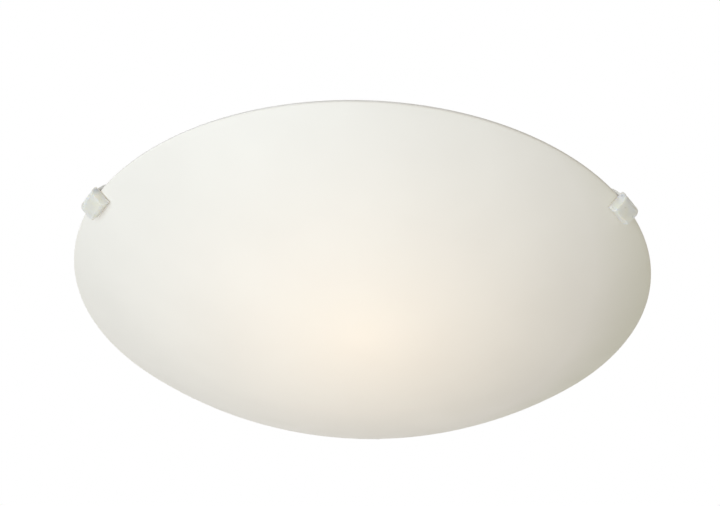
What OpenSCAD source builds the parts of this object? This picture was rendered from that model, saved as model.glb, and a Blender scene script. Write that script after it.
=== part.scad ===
// Flush ceiling light: an opal glass dish held by three hooked arms under a pressed steel pan.
// The origin is the centre of the ceiling plane, +Z points up into the ceiling, sizes are in mm.
// Two arms are riveted to the pan. The third slides outward against a spring to let the glass go.

/* [Glass shade] */
// Diameter over the outer corner of the glass edge
shade_d = 250; // [230:2:290]
// Height of the dome from that corner to its lowest point
shade_depth = 46; // [40:1:56]
// Thickness of the glass sheet
glass_t = 3; // [2.5:0.1:3.6]
// Width of the ground bevels along the glass edge
glass_bevel = 0.6; // [0.3:0.1:0.9]
// Drop from the ceiling to the outer corner of the glass edge
rim_drop = 36; // [34:1:44]

/* [Base pan] */
// Diameter of the pan where it meets the ceiling
pan_d = 160; // [154:1:168]
// Depth of the pan from the ceiling to the bottom of its rolled edge
pan_depth = 15; // [13:0.5:18]
// How far the skirt leans outward on its way down, in degrees
pan_flare = 22; // [10:1:28]
// Thickness of the pan sheet
pan_t = 0.8; // [0.7:0.1:1]
// Outside radius of the pressed corner
pan_corner_r = 4; // [3:0.5:5]
// Diameter of the wire rolled into the lower edge
pan_bead_d = 3; // [2.4:0.2:3.6]
// Diameter of the sunk middle of the pan
recess_d = 118; // [116:1:122]
// How far the middle is sunk below the ceiling
recess_h = 2.2; // [2:0.1:2.6]

/* [Ceiling fixing] */
// Distance between the middles of the two screw slots
slot_spacing = 138; // [134:1:142]
// Width of a screw slot
slot_w = 5; // [4.6:0.1:5.6]
// Length of a screw slot from end to end
slot_len = 12; // [10:0.5:13]
// Bore of the rubber grommet that the house cable comes through
cable_d = 7; // [6:0.5:9]

/* [Arms and hooks] */
// Width of the steel strip arms
arm_w = 10; // [8:0.5:12]
// Thickness of the steel strip arms
arm_t = 1; // [0.8:0.1:1.5]
// Gap between an arm and the edge of the glass
arm_gap = 0.3; // [0.3:0.1:0.8]
// Width of a plastic hook
hook_w = 11.6; // [11:0.2:14]
// Length of the finger under the glass
finger_l = 6.4; // [5:0.2:8]
// Thickness of the finger
finger_t = 4.3; // [4:0.1:5]
// Gap between the finger and the underside of the glass
seat_gap = 0.3; // [0.2:0.1:0.5]
// Thickness of the release hook, slimmer so that it slips out from under the glass
release_hook_t = 2.8; // [2.6:0.1:3.2]
// Thickness of the release hook at the tip of its finger
release_tip_t = 1.4; // [1.2:0.1:2]
// Outward travel of the release arm
release_travel = 9; // [8:0.5:10]

/* [Release spring] */
// Outside diameter of the coil
spring_od = 7; // [6:0.2:7.6]
// Diameter of the spring wire
spring_wire_d = 0.8; // [0.6:0.1:0.9]
// Number of turns
spring_turns = 9; // [7:1:9]
// Diameter of the rod that keeps the coil straight
rod_d = 2.6; // [2.2:0.2:3]

/* [Lamp and holder] */
// Direction in which the lampholder lies, in degrees from +X
lamp_az = 30; // [26:1:34]
// Distance from the ceiling down to the axis of the bulb
lamp_drop = 36; // [35:1:42]
// Diameter of the bulb's globe
globe_d = 45; // [43:1:47]
// Whole length of the bulb
bulb_l = 78; // [76:1:80]
// How far the globe's tip lies past the middle of the light
tip_over = 34; // [32:1:36]
// Thickness of the bulb's glass
globe_t = 0.9; // [0.7:0.1:1.2]
// Outside diameter of the screw cap
cap_d = 26; // [25.8:0.1:26.4]
// Length of the plain part of the screw cap
cap_l = 23; // [22:0.5:24]
// Diameter of the lampholder
holder_d = 38.4; // [37:0.2:40]
// Length of the lampholder
holder_l = 44.5; // [44:0.5:46]
// Width over the two flat sides at the back of the lampholder
holder_flats = 26; // [24:1:28]

/* [Wiring] */
// Spacing of the terminals
pole_pitch = 10; // [9.6:0.1:10.4]
// Width of the terminal block across its poles
block_w = 16; // [15:0.5:18]
// Height of the terminal block
block_h = 12; // [11:0.5:13]
// Diameter of the insulated wires
wire_d = 2.2; // [1.8:0.1:2.6]

/* [Hidden] */
$fn = 96;

// Small shared clearances
snug = 0.1;
free_fit = 0.3;

// Glass: a cap of a sphere, cut square to its surface
shade_r = shade_d / 2;
sphere_r = (shade_r * shade_r + shade_depth * shade_depth) / (2 * shade_depth);
sphere_z = sphere_r - shade_depth - rim_drop;
rim_slope = asin(shade_r / sphere_r);

// Pan
pan_r = pan_d / 2;
recess_r = recess_d / 2;
floor_z = -(recess_h + pan_t);
bead_r = pan_bead_d / 2;
skirt_start = [
    pan_r - pan_corner_r + pan_corner_r * cos(pan_flare),
    -pan_corner_r + pan_corner_r * sin(pan_flare)
];
skirt_l = (pan_depth - bead_r + skirt_start[1] + bead_r * sin(pan_flare)) / cos(pan_flare);

// Arms: level inside the pan, then down along the edge of the glass
left_az = -150;
right_az = -30;
release_az = 90;
arm_azimuths = [left_az, right_az];
arm_bend_r = 4;
arm_bend_clear = 9;
knee_r = 3;
knee_above_glass = 0.5;
knee_up = glass_t + knee_above_glass;
arm_start = 30;
inner_rivet_in = 8;
outer_rivet_in = 20;
fixed_arm_z = floor_z - arm_t / 2;
slide_arm_z = fixed_arm_z - free_fit;
arm_drop_angle = 90 - rim_slope;
arm_mid = arm_gap + arm_t / 2;
strip_cover = 2.1;
release_strip_cover = 1.4;
arm_tip = seat_gap + finger_t - strip_cover - snug;
release_arm_tip = seat_gap + release_hook_t - release_strip_cover - snug;
inner_rivet_at = arm_start + inner_rivet_in;
outer_rivet_at = arm_start + outer_rivet_in;
rivet_stations = [inner_rivet_at, outer_rivet_at];
rivet_shank_r = 1.5;
rivet_head_r = 2.7;
rivet_head_h = 1.3;

// Hook: a block in the plane of the glass edge, x along the sheet and y off its outer face
hook_wall = 0.7;
hook_out = arm_gap + arm_t + snug + hook_wall;
hook_round = 3;
tip_round = 1.2;
hook_chamfer = 0.4;
release_hook_round = 2.2;
release_tip_round = 0.6;
release_lip = 0.9;
peg_r = 0.7;
peg_up = 1.3;

// Release slide
guide_from = 46;
spring_spare = 5.8;
release_tab_at = guide_from - release_travel - spring_turns * spring_wire_d - spring_spare;
release_tab_h = 9;
guide_l = 11;
guide_t = 1;
guide_half = arm_w / 2 + free_fit;
guide_floor_z = slide_arm_z - arm_t / 2 - free_fit;
guide_ear = 8;
ear_rivet = guide_half + guide_t + guide_ear / 2;
spring_z = guide_floor_z - guide_t - spring_od / 2;
rod_end = guide_from + guide_t + 3;
spring_from = release_tab_at + arm_t + free_fit;
spring_to = guide_from - free_fit;

// Lamp: distances run along the axis of the bulb, from the middle of the light outward
globe_r = globe_d / 2;
globe_at = globe_r - tip_over;
contact_end = bulb_l - tip_over;
contact_l = 1.4;
insulator_l = 2.6;
cap_end = contact_end - contact_l - insulator_l;
cap_from = cap_end - cap_l;
cap_r = cap_d / 2;
cap_t = 0.4;
cap_end_r = 8;
neck_r = cap_r - cap_t - 0.2;
neck_from = cap_from - 3;
neck_reach = sqrt(pow(neck_from - globe_at, 2) + neck_r * neck_r);
neck_angle = atan(neck_r / (neck_from - globe_at)) + acos(globe_r / neck_reach);
holder_r = holder_d / 2;
holder_from = cap_from - 1.5;
holder_end = holder_from + holder_l;
holder_floor = contact_end + 3;
shell_r = cap_r + free_fit;
shell_t = 0.5;
holder_bore_r = shell_r + shell_t + free_fit;
holder_back_r = 17;
groove_count = 20;
groove_r = 1.2;
groove_depth = 0.6;
groove_from = 5;
groove_short = 4;
groove_l = holder_floor - holder_from - groove_from - groove_short;
first_entry_in = 9;
second_entry_in = 4;
entry_stations = [holder_end - first_entry_in, holder_end - second_entry_in];
entry_depth = 4;
bracket_t = 1.2;
bracket_w = 24;
bracket_foot = 24;
bracket_down = 14;
bracket_rivet_from_bend = 16;
bracket_rivet_side = 8;
holder_screw_side = 8;
holder_screw_l = 6;
holder_screw_hole_l = 7;
screw_r = 1.5;
screw_head_r = 2.8;
screw_head_h = 2;

// Terminal block: below the pan's floor on the -Y side
block_y = -40;
block_l = 3 * pole_pitch;
pole_z = floor_z - block_h / 2;
sleeve_r = 2.6;
sleeve_bore_r = 1.6;
sleeve_l = block_w - 3;
pinch_side = 4;

// Earth point
earth_x = 26;
earth_y = -42;
tag_t = 0.8;
tag_r = 4;
barrel_l = 7;
barrel_r = wire_d / 2 + free_fit + 0.5;
tag_turn = -118;

// Wire routes: their middle points are chosen by hand, their ends come from the terminals
wire_sides = 8;
wire_in = 3;
live_middle = [
    [-10, -53, -9.5], [-5, -61, -13], [10, -65, -14], [31, -61, -13],
    [50, -49, -12], [63, -32, -12], [70, -14, -15], [70, -1, -24], [66, 3, -33]
];
neutral_middle = [
    [0, -53, -9.5], [4, -58, -13], [15, -60, -14], [30, -56, -13],
    [46, -45, -12], [57, -30, -12], [64, -14, -15], [64, -4, -24], [60, -1, -33]
];
earth_middle = [[10, -52, -9], [13, -56, -8.5], [18, -56, -7]];

// Placing

module around(azimuth) {
    rotate([0, 0, azimuth]) children();
}

// Stands a flat outline (distance out, height) up at an azimuth and gives it a width
module upright(azimuth, width) {
    around(azimuth)
        rotate([90, 0, 0])
            translate([0, 0, -width / 2])
                linear_extrude(width) children();
}

// Turns a flat outline into the plane of the glass edge
module at_rim() {
    translate([shade_r, -rim_drop]) rotate(rim_slope) children();
}

// Lays a shape built up along +Z onto the axis of the bulb
module on_lamp_axis() {
    translate([0, 0, -lamp_drop])
        around(lamp_az)
            rotate([0, 90, 0]) children();
}

// Flat helpers

module sheet_arc(outer_r, thickness, from_angle, to_angle) {
    reach = 2 * outer_r;
    intersection() {
        difference() {
            circle(outer_r);
            circle(outer_r - thickness);
        }
        polygon([
            [0, 0],
            [reach * cos(from_angle), reach * sin(from_angle)],
            [reach * cos(to_angle), reach * sin(to_angle)]
        ]);
    }
}

module corner_waste(r) {
    difference() {
        translate([-0.01, -0.01]) square(r + 0.01);
        translate([r, r]) circle(r);
    }
}

module slot_outline(length, width) {
    square([length - width, width], center = true);
    for (side = [-1, 1])
        translate([side * (length - width) / 2, 0]) circle(width / 2);
}

// Swept wires and the spring

function unit(v) = v / norm(v);
function directions(p) = [
    for (i = [0 : len(p) - 1]) unit(p[min(i + 1, len(p) - 1)] - p[max(i - 1, 0)])
];
function square_to(n, t) = unit(n - (n * t) * t);
function side_vectors(t, start) = [
    for (i = 0, n = square_to(start, t[0]);
         i < len(t);
         i = i + 1, n = square_to(n, t[min(i, len(t) - 1)])) n
];
function spline_point(a, b, c, d, f) =
    0.5 * (2 * b + (c - a) * f + (2 * a - 5 * b + 4 * c - d) * f * f
        + (3 * b - a - 3 * c + d) * f * f * f);
function smooth_route(p, steps) = [
    for (i = [0 : len(p) - 2]) for (k = [0 : steps - 1])
        spline_point(p[max(i - 1, 0)], p[i], p[i + 1], p[min(i + 2, len(p) - 1)], k / steps),
    p[len(p) - 1]
];

module tube_along(p, radius, sides, start) {
    t = directions(p);
    n = side_vectors(t, start);
    points = [
        for (i = [0 : len(p) - 1]) for (k = [0 : sides - 1])
            p[i] + radius * (cos(360 * k / sides) * n[i] + sin(360 * k / sides) * cross(t[i], n[i]))
    ];
    last = (len(p) - 1) * sides;
    polyhedron(points, [
        for (i = [0 : len(p) - 2]) for (k = [0 : sides - 1]) each [
            [i * sides + k, (i + 1) * sides + k, i * sides + (k + 1) % sides],
            [i * sides + (k + 1) % sides, (i + 1) * sides + k, (i + 1) * sides + (k + 1) % sides]
        ],
        for (k = [1 : sides - 2]) [0, k, k + 1],
        for (k = [1 : sides - 2]) [last, last + k + 1, last + k]
    ]);
}

spring_rings = 8;
coil_r = (spring_od - spring_wire_d) / 2;
spring_path = [
    for (i = [0 : spring_turns * spring_rings]) [
        coil_r * cos(360 * i / spring_rings),
        spring_from + spring_wire_d / 2
            + (spring_to - spring_from - spring_wire_d) * i / (spring_turns * spring_rings),
        spring_z + coil_r * sin(360 * i / spring_rings)
    ]
];
spring_gap = min([
    for (i = [0 : len(spring_path) - 1])
        for (k = [i + spring_rings / 2 : 1 : len(spring_path) - 1])
            norm(spring_path[k] - spring_path[i])
]) - spring_wire_d;
echo(spring_least_gap_mm = spring_gap);

// The pan

module pan_outline() {
    step = recess_h;
    translate([0, floor_z]) square([recess_r, pan_t]);
    polygon([
        [recess_r, floor_z], [recess_r + step, -pan_t], [recess_r + step, 0], [recess_r, -recess_h]
    ]);
    translate([recess_r + step, -pan_t]) square([pan_r - pan_corner_r - recess_r - step, pan_t]);
    translate([pan_r - pan_corner_r, -pan_corner_r])
        sheet_arc(pan_corner_r, pan_t, pan_flare, 90);
    translate(skirt_start)
        rotate(pan_flare)
            translate([-pan_t, -skirt_l]) square([pan_t, skirt_l]);
    translate(skirt_start)
        rotate(pan_flare)
            translate([-bead_r, -skirt_l]) circle(bead_r);
}

module skirt_window(azimuth, arm_z) {
    window_h = arm_t + 2 * free_fit + 0.6;
    window_w = arm_w + 2 * free_fit + 0.6;
    around(azimuth)
        translate([pan_r - pan_corner_r, -window_w / 2, arm_z - window_h / 2])
            cube([2 * pan_corner_r + 4, window_w, window_h]);
}

module base_pan() {
    color("whitesmoke")
        difference() {
            rotate_extrude() pan_outline();
            for (side = [-1, 1])
                translate([side * slot_spacing / 2, 0, -pan_t - 1])
                    linear_extrude(pan_t + 2) slot_outline(slot_len, slot_w);
            translate([0, 0, floor_z - 1]) cylinder(r = cable_d / 2 + 2 + snug, h = pan_t + 2);
            for (azimuth = arm_azimuths) {
                skirt_window(azimuth, fixed_arm_z);
                for (at = rivet_stations)
                    around(azimuth) translate([at, 0, floor_z - 1]) rivet_hole();
            }
            skirt_window(release_az, slide_arm_z);
            around(release_az)
                for (side = [-1, 1])
                    translate([guide_from + guide_l / 2, side * ear_rivet, floor_z - 1]) rivet_hole();
            around(lamp_az)
                for (side = [-1, 1])
                    translate([holder_end - bracket_rivet_from_bend, side * bracket_rivet_side, floor_z - 1])
                        rivet_hole();
            for (side = [-1, 1])
                translate([side * pole_pitch / 2, block_y, floor_z - 1])
                    cylinder(r = screw_r + snug, h = pan_t + 2);
            translate([earth_x, earth_y, floor_z - 1]) cylinder(r = 2 + snug, h = pan_t + 2);
        }
}

module rivet_hole() {
    cylinder(r = rivet_shank_r + snug / 2, h = pan_t + 2);
}

// A rivet through the pan's floor and a sheet of the given thickness below it
module pan_rivet(sheet) {
    translate([0, 0, floor_z - sheet]) cylinder(r = rivet_shank_r, h = sheet + pan_t);
    translate([0, 0, -recess_h]) cylinder(r1 = rivet_head_r, r2 = rivet_shank_r, h = rivet_head_h);
    translate([0, 0, floor_z - sheet - rivet_head_h])
        cylinder(r1 = rivet_shank_r, r2 = rivet_head_r, h = rivet_head_h);
}

module cable_grommet() {
    lip = 1.5;
    color("dimgray")
        rotate_extrude()
            difference() {
                union() {
                    translate([0, floor_z - lip]) square([cable_d / 2 + 2, pan_t + 2 * lip]);
                    translate([0, floor_z - lip]) square([cable_d / 2 + 4, lip]);
                    translate([0, -recess_h]) square([cable_d / 2 + 4, lip]);
                }
                translate([0, floor_z - lip - 1]) square([cable_d / 2, pan_t + 2 * lip + 2]);
            }
}

// Arms and hooks

// A strip seen from the side: level in the pan, down past its skirt, then along the glass edge
module arm_outline(inner_end, mid_z, tip) {
    knee = [
        shade_r + arm_mid * cos(rim_slope) - knee_up * sin(rim_slope),
        -rim_drop + arm_mid * sin(rim_slope) + knee_up * cos(rim_slope)
    ];
    corner = [pan_r + arm_bend_clear, mid_z];
    fall = atan((corner[1] - knee[1]) / (knee[0] - corner[0]));
    down = [cos(fall), -sin(fall)];
    along = [cos(arm_drop_angle), -sin(arm_drop_angle)];
    first_middle = corner - [arm_bend_r * tan(fall / 2), arm_bend_r];
    // The knee bends down where the glass edge is steeper than the fall, and up where it is not
    knee_way = arm_drop_angle > fall ? 1 : -1;
    second_middle = knee - knee_r * tan(abs(arm_drop_angle - fall) / 2) * down
        - knee_way * knee_r * [sin(fall), cos(fall)];
    end = knee + (knee_up + tip) * along;
    first_steps = 10;
    second_steps = 3;
    polygon([
        for (half = [1, -1]) let (side = half * arm_t / 2) each [
            if (half < 0) end + side * [sin(arm_drop_angle), cos(arm_drop_angle)],
            if (half < 0)
                for (k = [second_steps : -1 : 0])
                    let (turn = 90 - fall - (arm_drop_angle - fall) * k / second_steps)
                    second_middle + (knee_way * knee_r + side) * [cos(turn), sin(turn)],
            if (half > 0) [inner_end, mid_z + side],
            for (k = [0 : first_steps])
                let (turn = 90 - fall * (half > 0 ? k : first_steps - k) / first_steps)
                first_middle + (arm_bend_r + side) * [cos(turn), sin(turn)],
            if (half > 0)
                for (k = [0 : second_steps])
                    let (turn = 90 - fall - (arm_drop_angle - fall) * k / second_steps)
                    second_middle + (knee_way * knee_r + side) * [cos(turn), sin(turn)],
            if (half > 0) end + side * [sin(arm_drop_angle), cos(arm_drop_angle)],
            if (half < 0) [inner_end, mid_z + side]
        ]
    ]);
}

// A cross hole through the arm's end, where the hook's peg snaps in
module peg_hole(radius, tip) {
    translate([shade_r, 0, -rim_drop])
        rotate([0, -rim_slope, 0])
            translate([-1, 0, peg_up - tip])
                rotate([0, 90, 0]) cylinder(r = radius, h = hook_out + 2);
}

module fixed_arm(azimuth) {
    color("gainsboro")
        difference() {
            upright(azimuth, arm_w) arm_outline(arm_start, fixed_arm_z, arm_tip);
            for (at = rivet_stations)
                around(azimuth)
                    translate([at, 0, fixed_arm_z - arm_t])
                        cylinder(r = rivet_shank_r + snug / 2, h = 2 * arm_t);
            around(azimuth) peg_hole(peg_r + snug, arm_tip);
        }
}

module left_arm() {
    fixed_arm(left_az);
}

module right_arm() {
    fixed_arm(right_az);
}

module arm_rivets() {
    color("silver")
        for (azimuth = arm_azimuths)
            for (at = rivet_stations)
                around(azimuth) translate([at, 0, 0]) pan_rivet(arm_t);
}

// The hook in its own plane: x along the sheet, y square to it, with the glass above y = 0
module hook_outline(thick, tip_t, lip, round_r, tip_r, strip_end) {
    top = -seat_gap;
    low = top - thick;
    difference() {
        union() {
            polygon([
                [-finger_l, top],
                [-finger_l, top - tip_t],
                [arm_gap, low],
                [hook_out, low],
                [hook_out, top - hook_chamfer],
                [hook_out - hook_chamfer, top]
            ]);
            if (lip > 0)
                translate([hook_out - hook_wall, top - hook_chamfer])
                    square([hook_wall, lip + hook_chamfer]);
        }
        translate([hook_out, low]) mirror([1, 0]) corner_waste(round_r);
        translate([-finger_l, top - tip_t]) corner_waste(tip_r);
        translate([arm_gap - snug, -strip_end - snug]) square([arm_t + 2 * snug, thick + 3]);
    }
}

// The peg that holds the hook on the strip's end
module hook_peg(azimuth, strip_end) {
    around(azimuth)
        intersection() {
            peg_hole(peg_r, strip_end);
            translate([shade_r, 0, -rim_drop])
                rotate([0, -rim_slope, 0])
                    translate([arm_gap - snug, -2 * peg_r, -finger_t])
                        cube([arm_t + 2 * snug, 4 * peg_r, 2 * finger_t]);
        }
}

module fixed_hook(azimuth) {
    color("white") {
        upright(azimuth, hook_w)
            at_rim() hook_outline(finger_t, finger_t, 0, hook_round, tip_round, arm_tip);
        hook_peg(azimuth, arm_tip);
    }
}

module left_hook() {
    fixed_hook(left_az);
}

module right_hook() {
    fixed_hook(right_az);
}

// Release slide

module release_hook() {
    color("white") {
        upright(release_az, hook_w)
            at_rim()
                hook_outline(
                    release_hook_t, release_tip_t, release_lip,
                    release_hook_round, release_tip_round, release_arm_tip
                );
        hook_peg(release_az, release_arm_tip);
    }
}

module release_arm() {
    color("gainsboro")
        difference() {
            union() {
                upright(release_az, arm_w)
                    arm_outline(release_tab_at, slide_arm_z, release_arm_tip);
                around(release_az)
                    translate([release_tab_at, -arm_w / 2, slide_arm_z - arm_t / 2 - release_tab_h])
                        cube([arm_t, arm_w, release_tab_h + arm_t / 2]);
            }
            around(release_az) peg_hole(peg_r + snug, release_arm_tip);
            around(release_az)
                translate([release_tab_at - 1, 0, spring_z])
                    rotate([0, 90, 0]) cylinder(r = rod_d / 2 + 0.02, h = arm_t + 2);
        }
}

module release_rod() {
    head_l = 1.2;
    color("silver")
        around(release_az) {
            translate([release_tab_at, 0, spring_z])
                rotate([0, 90, 0]) cylinder(r = rod_d / 2, h = rod_end - release_tab_at);
            translate([release_tab_at - head_l, 0, spring_z])
                rotate([0, 90, 0]) cylinder(r = rod_d / 2 + 1, h = head_l);
        }
}

module release_spring() {
    color("darkgray") tube_along(spring_path, spring_wire_d / 2, 6, [0, 1, 0.5]);
}

module release_guide() {
    side_h = floor_z - guide_floor_z + guide_t;
    color("gainsboro")
        around(release_az)
            difference() {
                union() {
                    translate([guide_from, -guide_half - guide_t, guide_floor_z - guide_t])
                        cube([guide_l, 2 * (guide_half + guide_t), guide_t]);
                    for (side = [-1, 1]) {
                        translate([
                            guide_from,
                            side * (guide_half + guide_t / 2) - guide_t / 2,
                            guide_floor_z - guide_t
                        ])
                            cube([guide_l, guide_t, side_h]);
                        translate([
                            guide_from,
                            side * (guide_half + (guide_t + guide_ear) / 2) - (guide_t + guide_ear) / 2,
                            floor_z - guide_t
                        ])
                            cube([guide_l, guide_t + guide_ear, guide_t]);
                    }
                    translate([guide_from, -guide_half - guide_t, spring_z - spring_od / 2])
                        cube([guide_t, 2 * (guide_half + guide_t), guide_floor_z - spring_z + spring_od / 2]);
                }
                translate([guide_from - 1, 0, spring_z])
                    rotate([0, 90, 0]) cylinder(r = rod_d / 2 + free_fit, h = guide_t + 2);
                for (side = [-1, 1])
                    translate([guide_from + guide_l / 2, side * ear_rivet, floor_z - 2 * guide_t])
                        cylinder(r = rivet_shank_r + snug / 2, h = 3 * guide_t);
            }
}

module guide_rivets() {
    color("silver")
        around(release_az)
            for (side = [-1, 1])
                translate([guide_from + guide_l / 2, side * ear_rivet, 0]) pan_rivet(guide_t);
}

// Lampholder and its bracket

module lampholder_bracket() {
    leg_top = floor_z;
    leg_low = -lamp_drop - bracket_down;
    bend = 2.5;
    color("gainsboro")
        difference() {
            upright(lamp_az, bracket_w) {
                translate([holder_end - bracket_foot, leg_top - bracket_t])
                    square([bracket_foot + bracket_t - bend, bracket_t]);
                translate([holder_end + bracket_t - bend, leg_top - bend])
                    sheet_arc(bend, bracket_t, 0, 90);
                translate([holder_end, leg_low]) square([bracket_t, leg_top - bend - leg_low]);
            }
            around(lamp_az)
                for (side = [-1, 1])
                    translate([
                        holder_end - bracket_rivet_from_bend,
                        side * bracket_rivet_side,
                        leg_top - 2 * bracket_t
                    ])
                        cylinder(r = rivet_shank_r + snug / 2, h = 3 * bracket_t);
            for (side = [-1, 1])
                on_lamp_axis()
                    translate([side * holder_screw_side, 0, holder_end - 1])
                        cylinder(r = screw_r + 2 * snug, h = bracket_t + 2);
            on_lamp_axis() translate([0, 0, holder_end - 1]) cylinder(r = 4, h = bracket_t + 2);
        }
}

module bracket_rivets() {
    color("silver")
        around(lamp_az)
            for (side = [-1, 1])
                translate([holder_end - bracket_rivet_from_bend, side * bracket_rivet_side, 0])
                    pan_rivet(bracket_t);
}

module holder_screws() {
    color("silver")
        on_lamp_axis()
            for (side = [-1, 1])
                translate([side * holder_screw_side, 0, holder_end])
                    difference() {
                        union() {
                            translate([0, 0, -holder_screw_l])
                                cylinder(r = screw_r, h = holder_screw_l + bracket_t);
                            translate([0, 0, bracket_t]) cylinder(r = screw_head_r, h = screw_head_h);
                        }
                        translate([-screw_head_r, -0.4, bracket_t + screw_head_h - 0.8])
                            cube([2 * screw_head_r, 0.8, 1]);
                    }
}

module lampholder_body() {
    mouth_r = cap_r + 1.6;
    back_from = holder_floor + 1;
    color("white")
        difference() {
            on_lamp_axis()
                union() {
                    rotate_extrude()
                        polygon([
                            [mouth_r, holder_from],
                            [holder_r - 1, holder_from],
                            [holder_r, holder_from + 1.5],
                            [holder_r, holder_floor - 1.5],
                            [holder_r - 0.8, holder_floor],
                            [holder_back_r + 0.6, holder_floor + 2.5],
                            [0, holder_floor + 2.5],
                            [0, holder_floor],
                            [holder_bore_r, holder_floor],
                            [holder_bore_r, holder_from + 2.5],
                            [mouth_r, holder_from + 2.5]
                        ]);
                    intersection() {
                        translate([0, 0, back_from]) cylinder(r = holder_back_r, h = holder_end - back_from);
                        translate([-holder_back_r, -holder_flats / 2, back_from])
                            cube([2 * holder_back_r, holder_flats, holder_end - back_from]);
                    }
                }
            for (k = [0 : groove_count - 1])
                on_lamp_axis()
                    rotate([0, 0, 360 * k / groove_count])
                        translate([holder_r + groove_r - groove_depth, 0, holder_from + groove_from])
                            cylinder(r = groove_r, h = groove_l, $fn = 24);
            for (at = entry_stations)
                on_lamp_axis()
                    translate([0, -holder_flats / 2 - 1, at])
                        rotate([-90, 0, 0]) cylinder(r = wire_d / 2 + free_fit, h = entry_depth + 1);
            for (side = [-1, 1])
                on_lamp_axis()
                    translate([side * holder_screw_side, 0, holder_end - holder_screw_hole_l])
                        cylinder(r = screw_r + snug, h = holder_screw_hole_l + 1);
        }
}

module screw_shell() {
    color("goldenrod")
        on_lamp_axis()
            rotate_extrude()
                polygon([
                    [shell_r, holder_from + 3],
                    [shell_r + shell_t, holder_from + 3],
                    [shell_r + shell_t, holder_floor],
                    [shell_r - 4, holder_floor],
                    [shell_r - 4, holder_floor - shell_t],
                    [shell_r, holder_floor - shell_t]
                ]);
}

module centre_contact() {
    half = 3;
    leaf_t = 0.4;
    foot_from = -8;
    foot_to = -4.5;
    leaf_top = -1.5;
    leaf_tip = 3;
    slant = 0.4;
    color("goldenrod")
        on_lamp_axis()
            rotate([90, 0, 0])
                translate([0, 0, -half])
                    linear_extrude(2 * half)
                        polygon([
                            [foot_from, holder_floor],
                            [foot_to, holder_floor],
                            [leaf_top, contact_end + leaf_t],
                            [leaf_tip, contact_end + leaf_t],
                            [leaf_tip, contact_end],
                            [leaf_top - slant, contact_end],
                            [foot_to - slant, holder_floor - leaf_t],
                            [foot_from, holder_floor - leaf_t]
                        ]);
}

// Bulb

module globe_outline(inset) {
    translate([0, globe_at]) circle(globe_r - inset);
    polygon([
        [0, globe_at],
        [(globe_r - inset) * sin(neck_angle), globe_at + (globe_r - inset) * cos(neck_angle)],
        [neck_r - inset, neck_from + inset / 2],
        [neck_r - inset, cap_from + 3],
        [0, cap_from + 3]
    ]);
}

module bulb_globe() {
    color("ivory")
        on_lamp_axis()
            rotate_extrude()
                intersection() {
                    difference() {
                        globe_outline(0);
                        globe_outline(globe_t);
                        translate([-1, cap_from + 2]) square([neck_r - globe_t + 1, 4]);
                    }
                    translate([0, -2 * tip_over]) square([globe_d, 4 * bulb_l]);
                }
}

module bulb_cap() {
    color("silver")
        on_lamp_axis()
            rotate_extrude()
                polygon([
                    [cap_r - cap_t, cap_from],
                    [cap_r, cap_from],
                    [cap_r, cap_end - 3],
                    [cap_end_r, cap_end],
                    [cap_end_r - cap_t, cap_end - cap_t],
                    [cap_r - cap_t, cap_end - 3 - cap_t]
                ]);
}

module bulb_insulator() {
    color("black")
        on_lamp_axis()
            translate([0, 0, cap_end]) cylinder(r1 = cap_end_r, r2 = 5, h = insulator_l);
}

module bulb_contact() {
    color("silver")
        on_lamp_axis()
            translate([0, 0, cap_end + insulator_l]) cylinder(r1 = 4.6, r2 = 3.8, h = contact_l);
}

// Wiring

module terminal_block() {
    shoulder = 2;
    color("white")
        difference() {
            translate([-block_l / 2, block_y - block_w / 2, floor_z - block_h])
                cube([block_l, block_w, block_h]);
            for (side = [-1, 1])
                translate([
                    -block_l / 2 - 1,
                    block_y + side * (block_w / 2 - shoulder / 2) - shoulder / 2 - (side < 0 ? 1 : 0),
                    floor_z - block_h - 1
                ])
                    cube([block_l + 2, shoulder + 1, shoulder + 1]);
            for (pole = [-1 : 1]) {
                translate([pole * pole_pitch, block_y + block_w / 2 + 1, pole_z])
                    rotate([90, 0, 0]) cylinder(r = sleeve_r + snug, h = block_w + 2);
                for (side = [-1, 1])
                    translate([pole * pole_pitch, block_y + side * pinch_side, floor_z - block_h - 1])
                        cylinder(r = 2.2, h = block_h / 2 + 1);
            }
            for (side = [-1, 1]) {
                translate([side * pole_pitch / 2, block_y, floor_z - block_h - 1])
                    cylinder(r = screw_r + snug, h = block_h + 2);
                translate([side * pole_pitch / 2, block_y, floor_z - block_h - 1])
                    cylinder(r = screw_head_r + snug, h = 5);
                // notches between the poles
                translate([side * pole_pitch / 2 - 0.8, block_y - block_w / 2 - 1, floor_z - block_h - 1])
                    cube([1.6, 4, block_h + 2]);
                translate([side * pole_pitch / 2 - 0.8, block_y + block_w / 2 - 3, floor_z - block_h - 1])
                    cube([1.6, 4, block_h + 2]);
            }
        }
}

module terminal_sleeves() {
    color("goldenrod")
        for (pole = [-1 : 1])
            difference() {
                translate([pole * pole_pitch, block_y + sleeve_l / 2, pole_z])
                    rotate([90, 0, 0]) cylinder(r = sleeve_r, h = sleeve_l);
                translate([pole * pole_pitch, block_y + sleeve_l / 2 + 1, pole_z])
                    rotate([90, 0, 0]) cylinder(r = sleeve_bore_r, h = sleeve_l + 2);
                for (side = [-1, 1])
                    translate([pole * pole_pitch, block_y + side * pinch_side, pole_z - sleeve_r - 1])
                        cylinder(r = 1.3, h = sleeve_r + 1);
            }
}

module terminal_screws() {
    head_h = 2.2;
    color("silver")
        for (pole = [-1 : 1])
            for (side = [-1, 1])
                translate([pole * pole_pitch, block_y + side * pinch_side, pole_z - sleeve_r - head_h])
                    difference() {
                        union() {
                            translate([0, 0, -0.6]) cylinder(r = 1.9, h = head_h);
                            cylinder(r = 1.2, h = head_h + sleeve_r - sleeve_bore_r);
                        }
                        translate([-2, -0.3, -1]) cube([4, 0.6, 1]);
                    }
}

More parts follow.
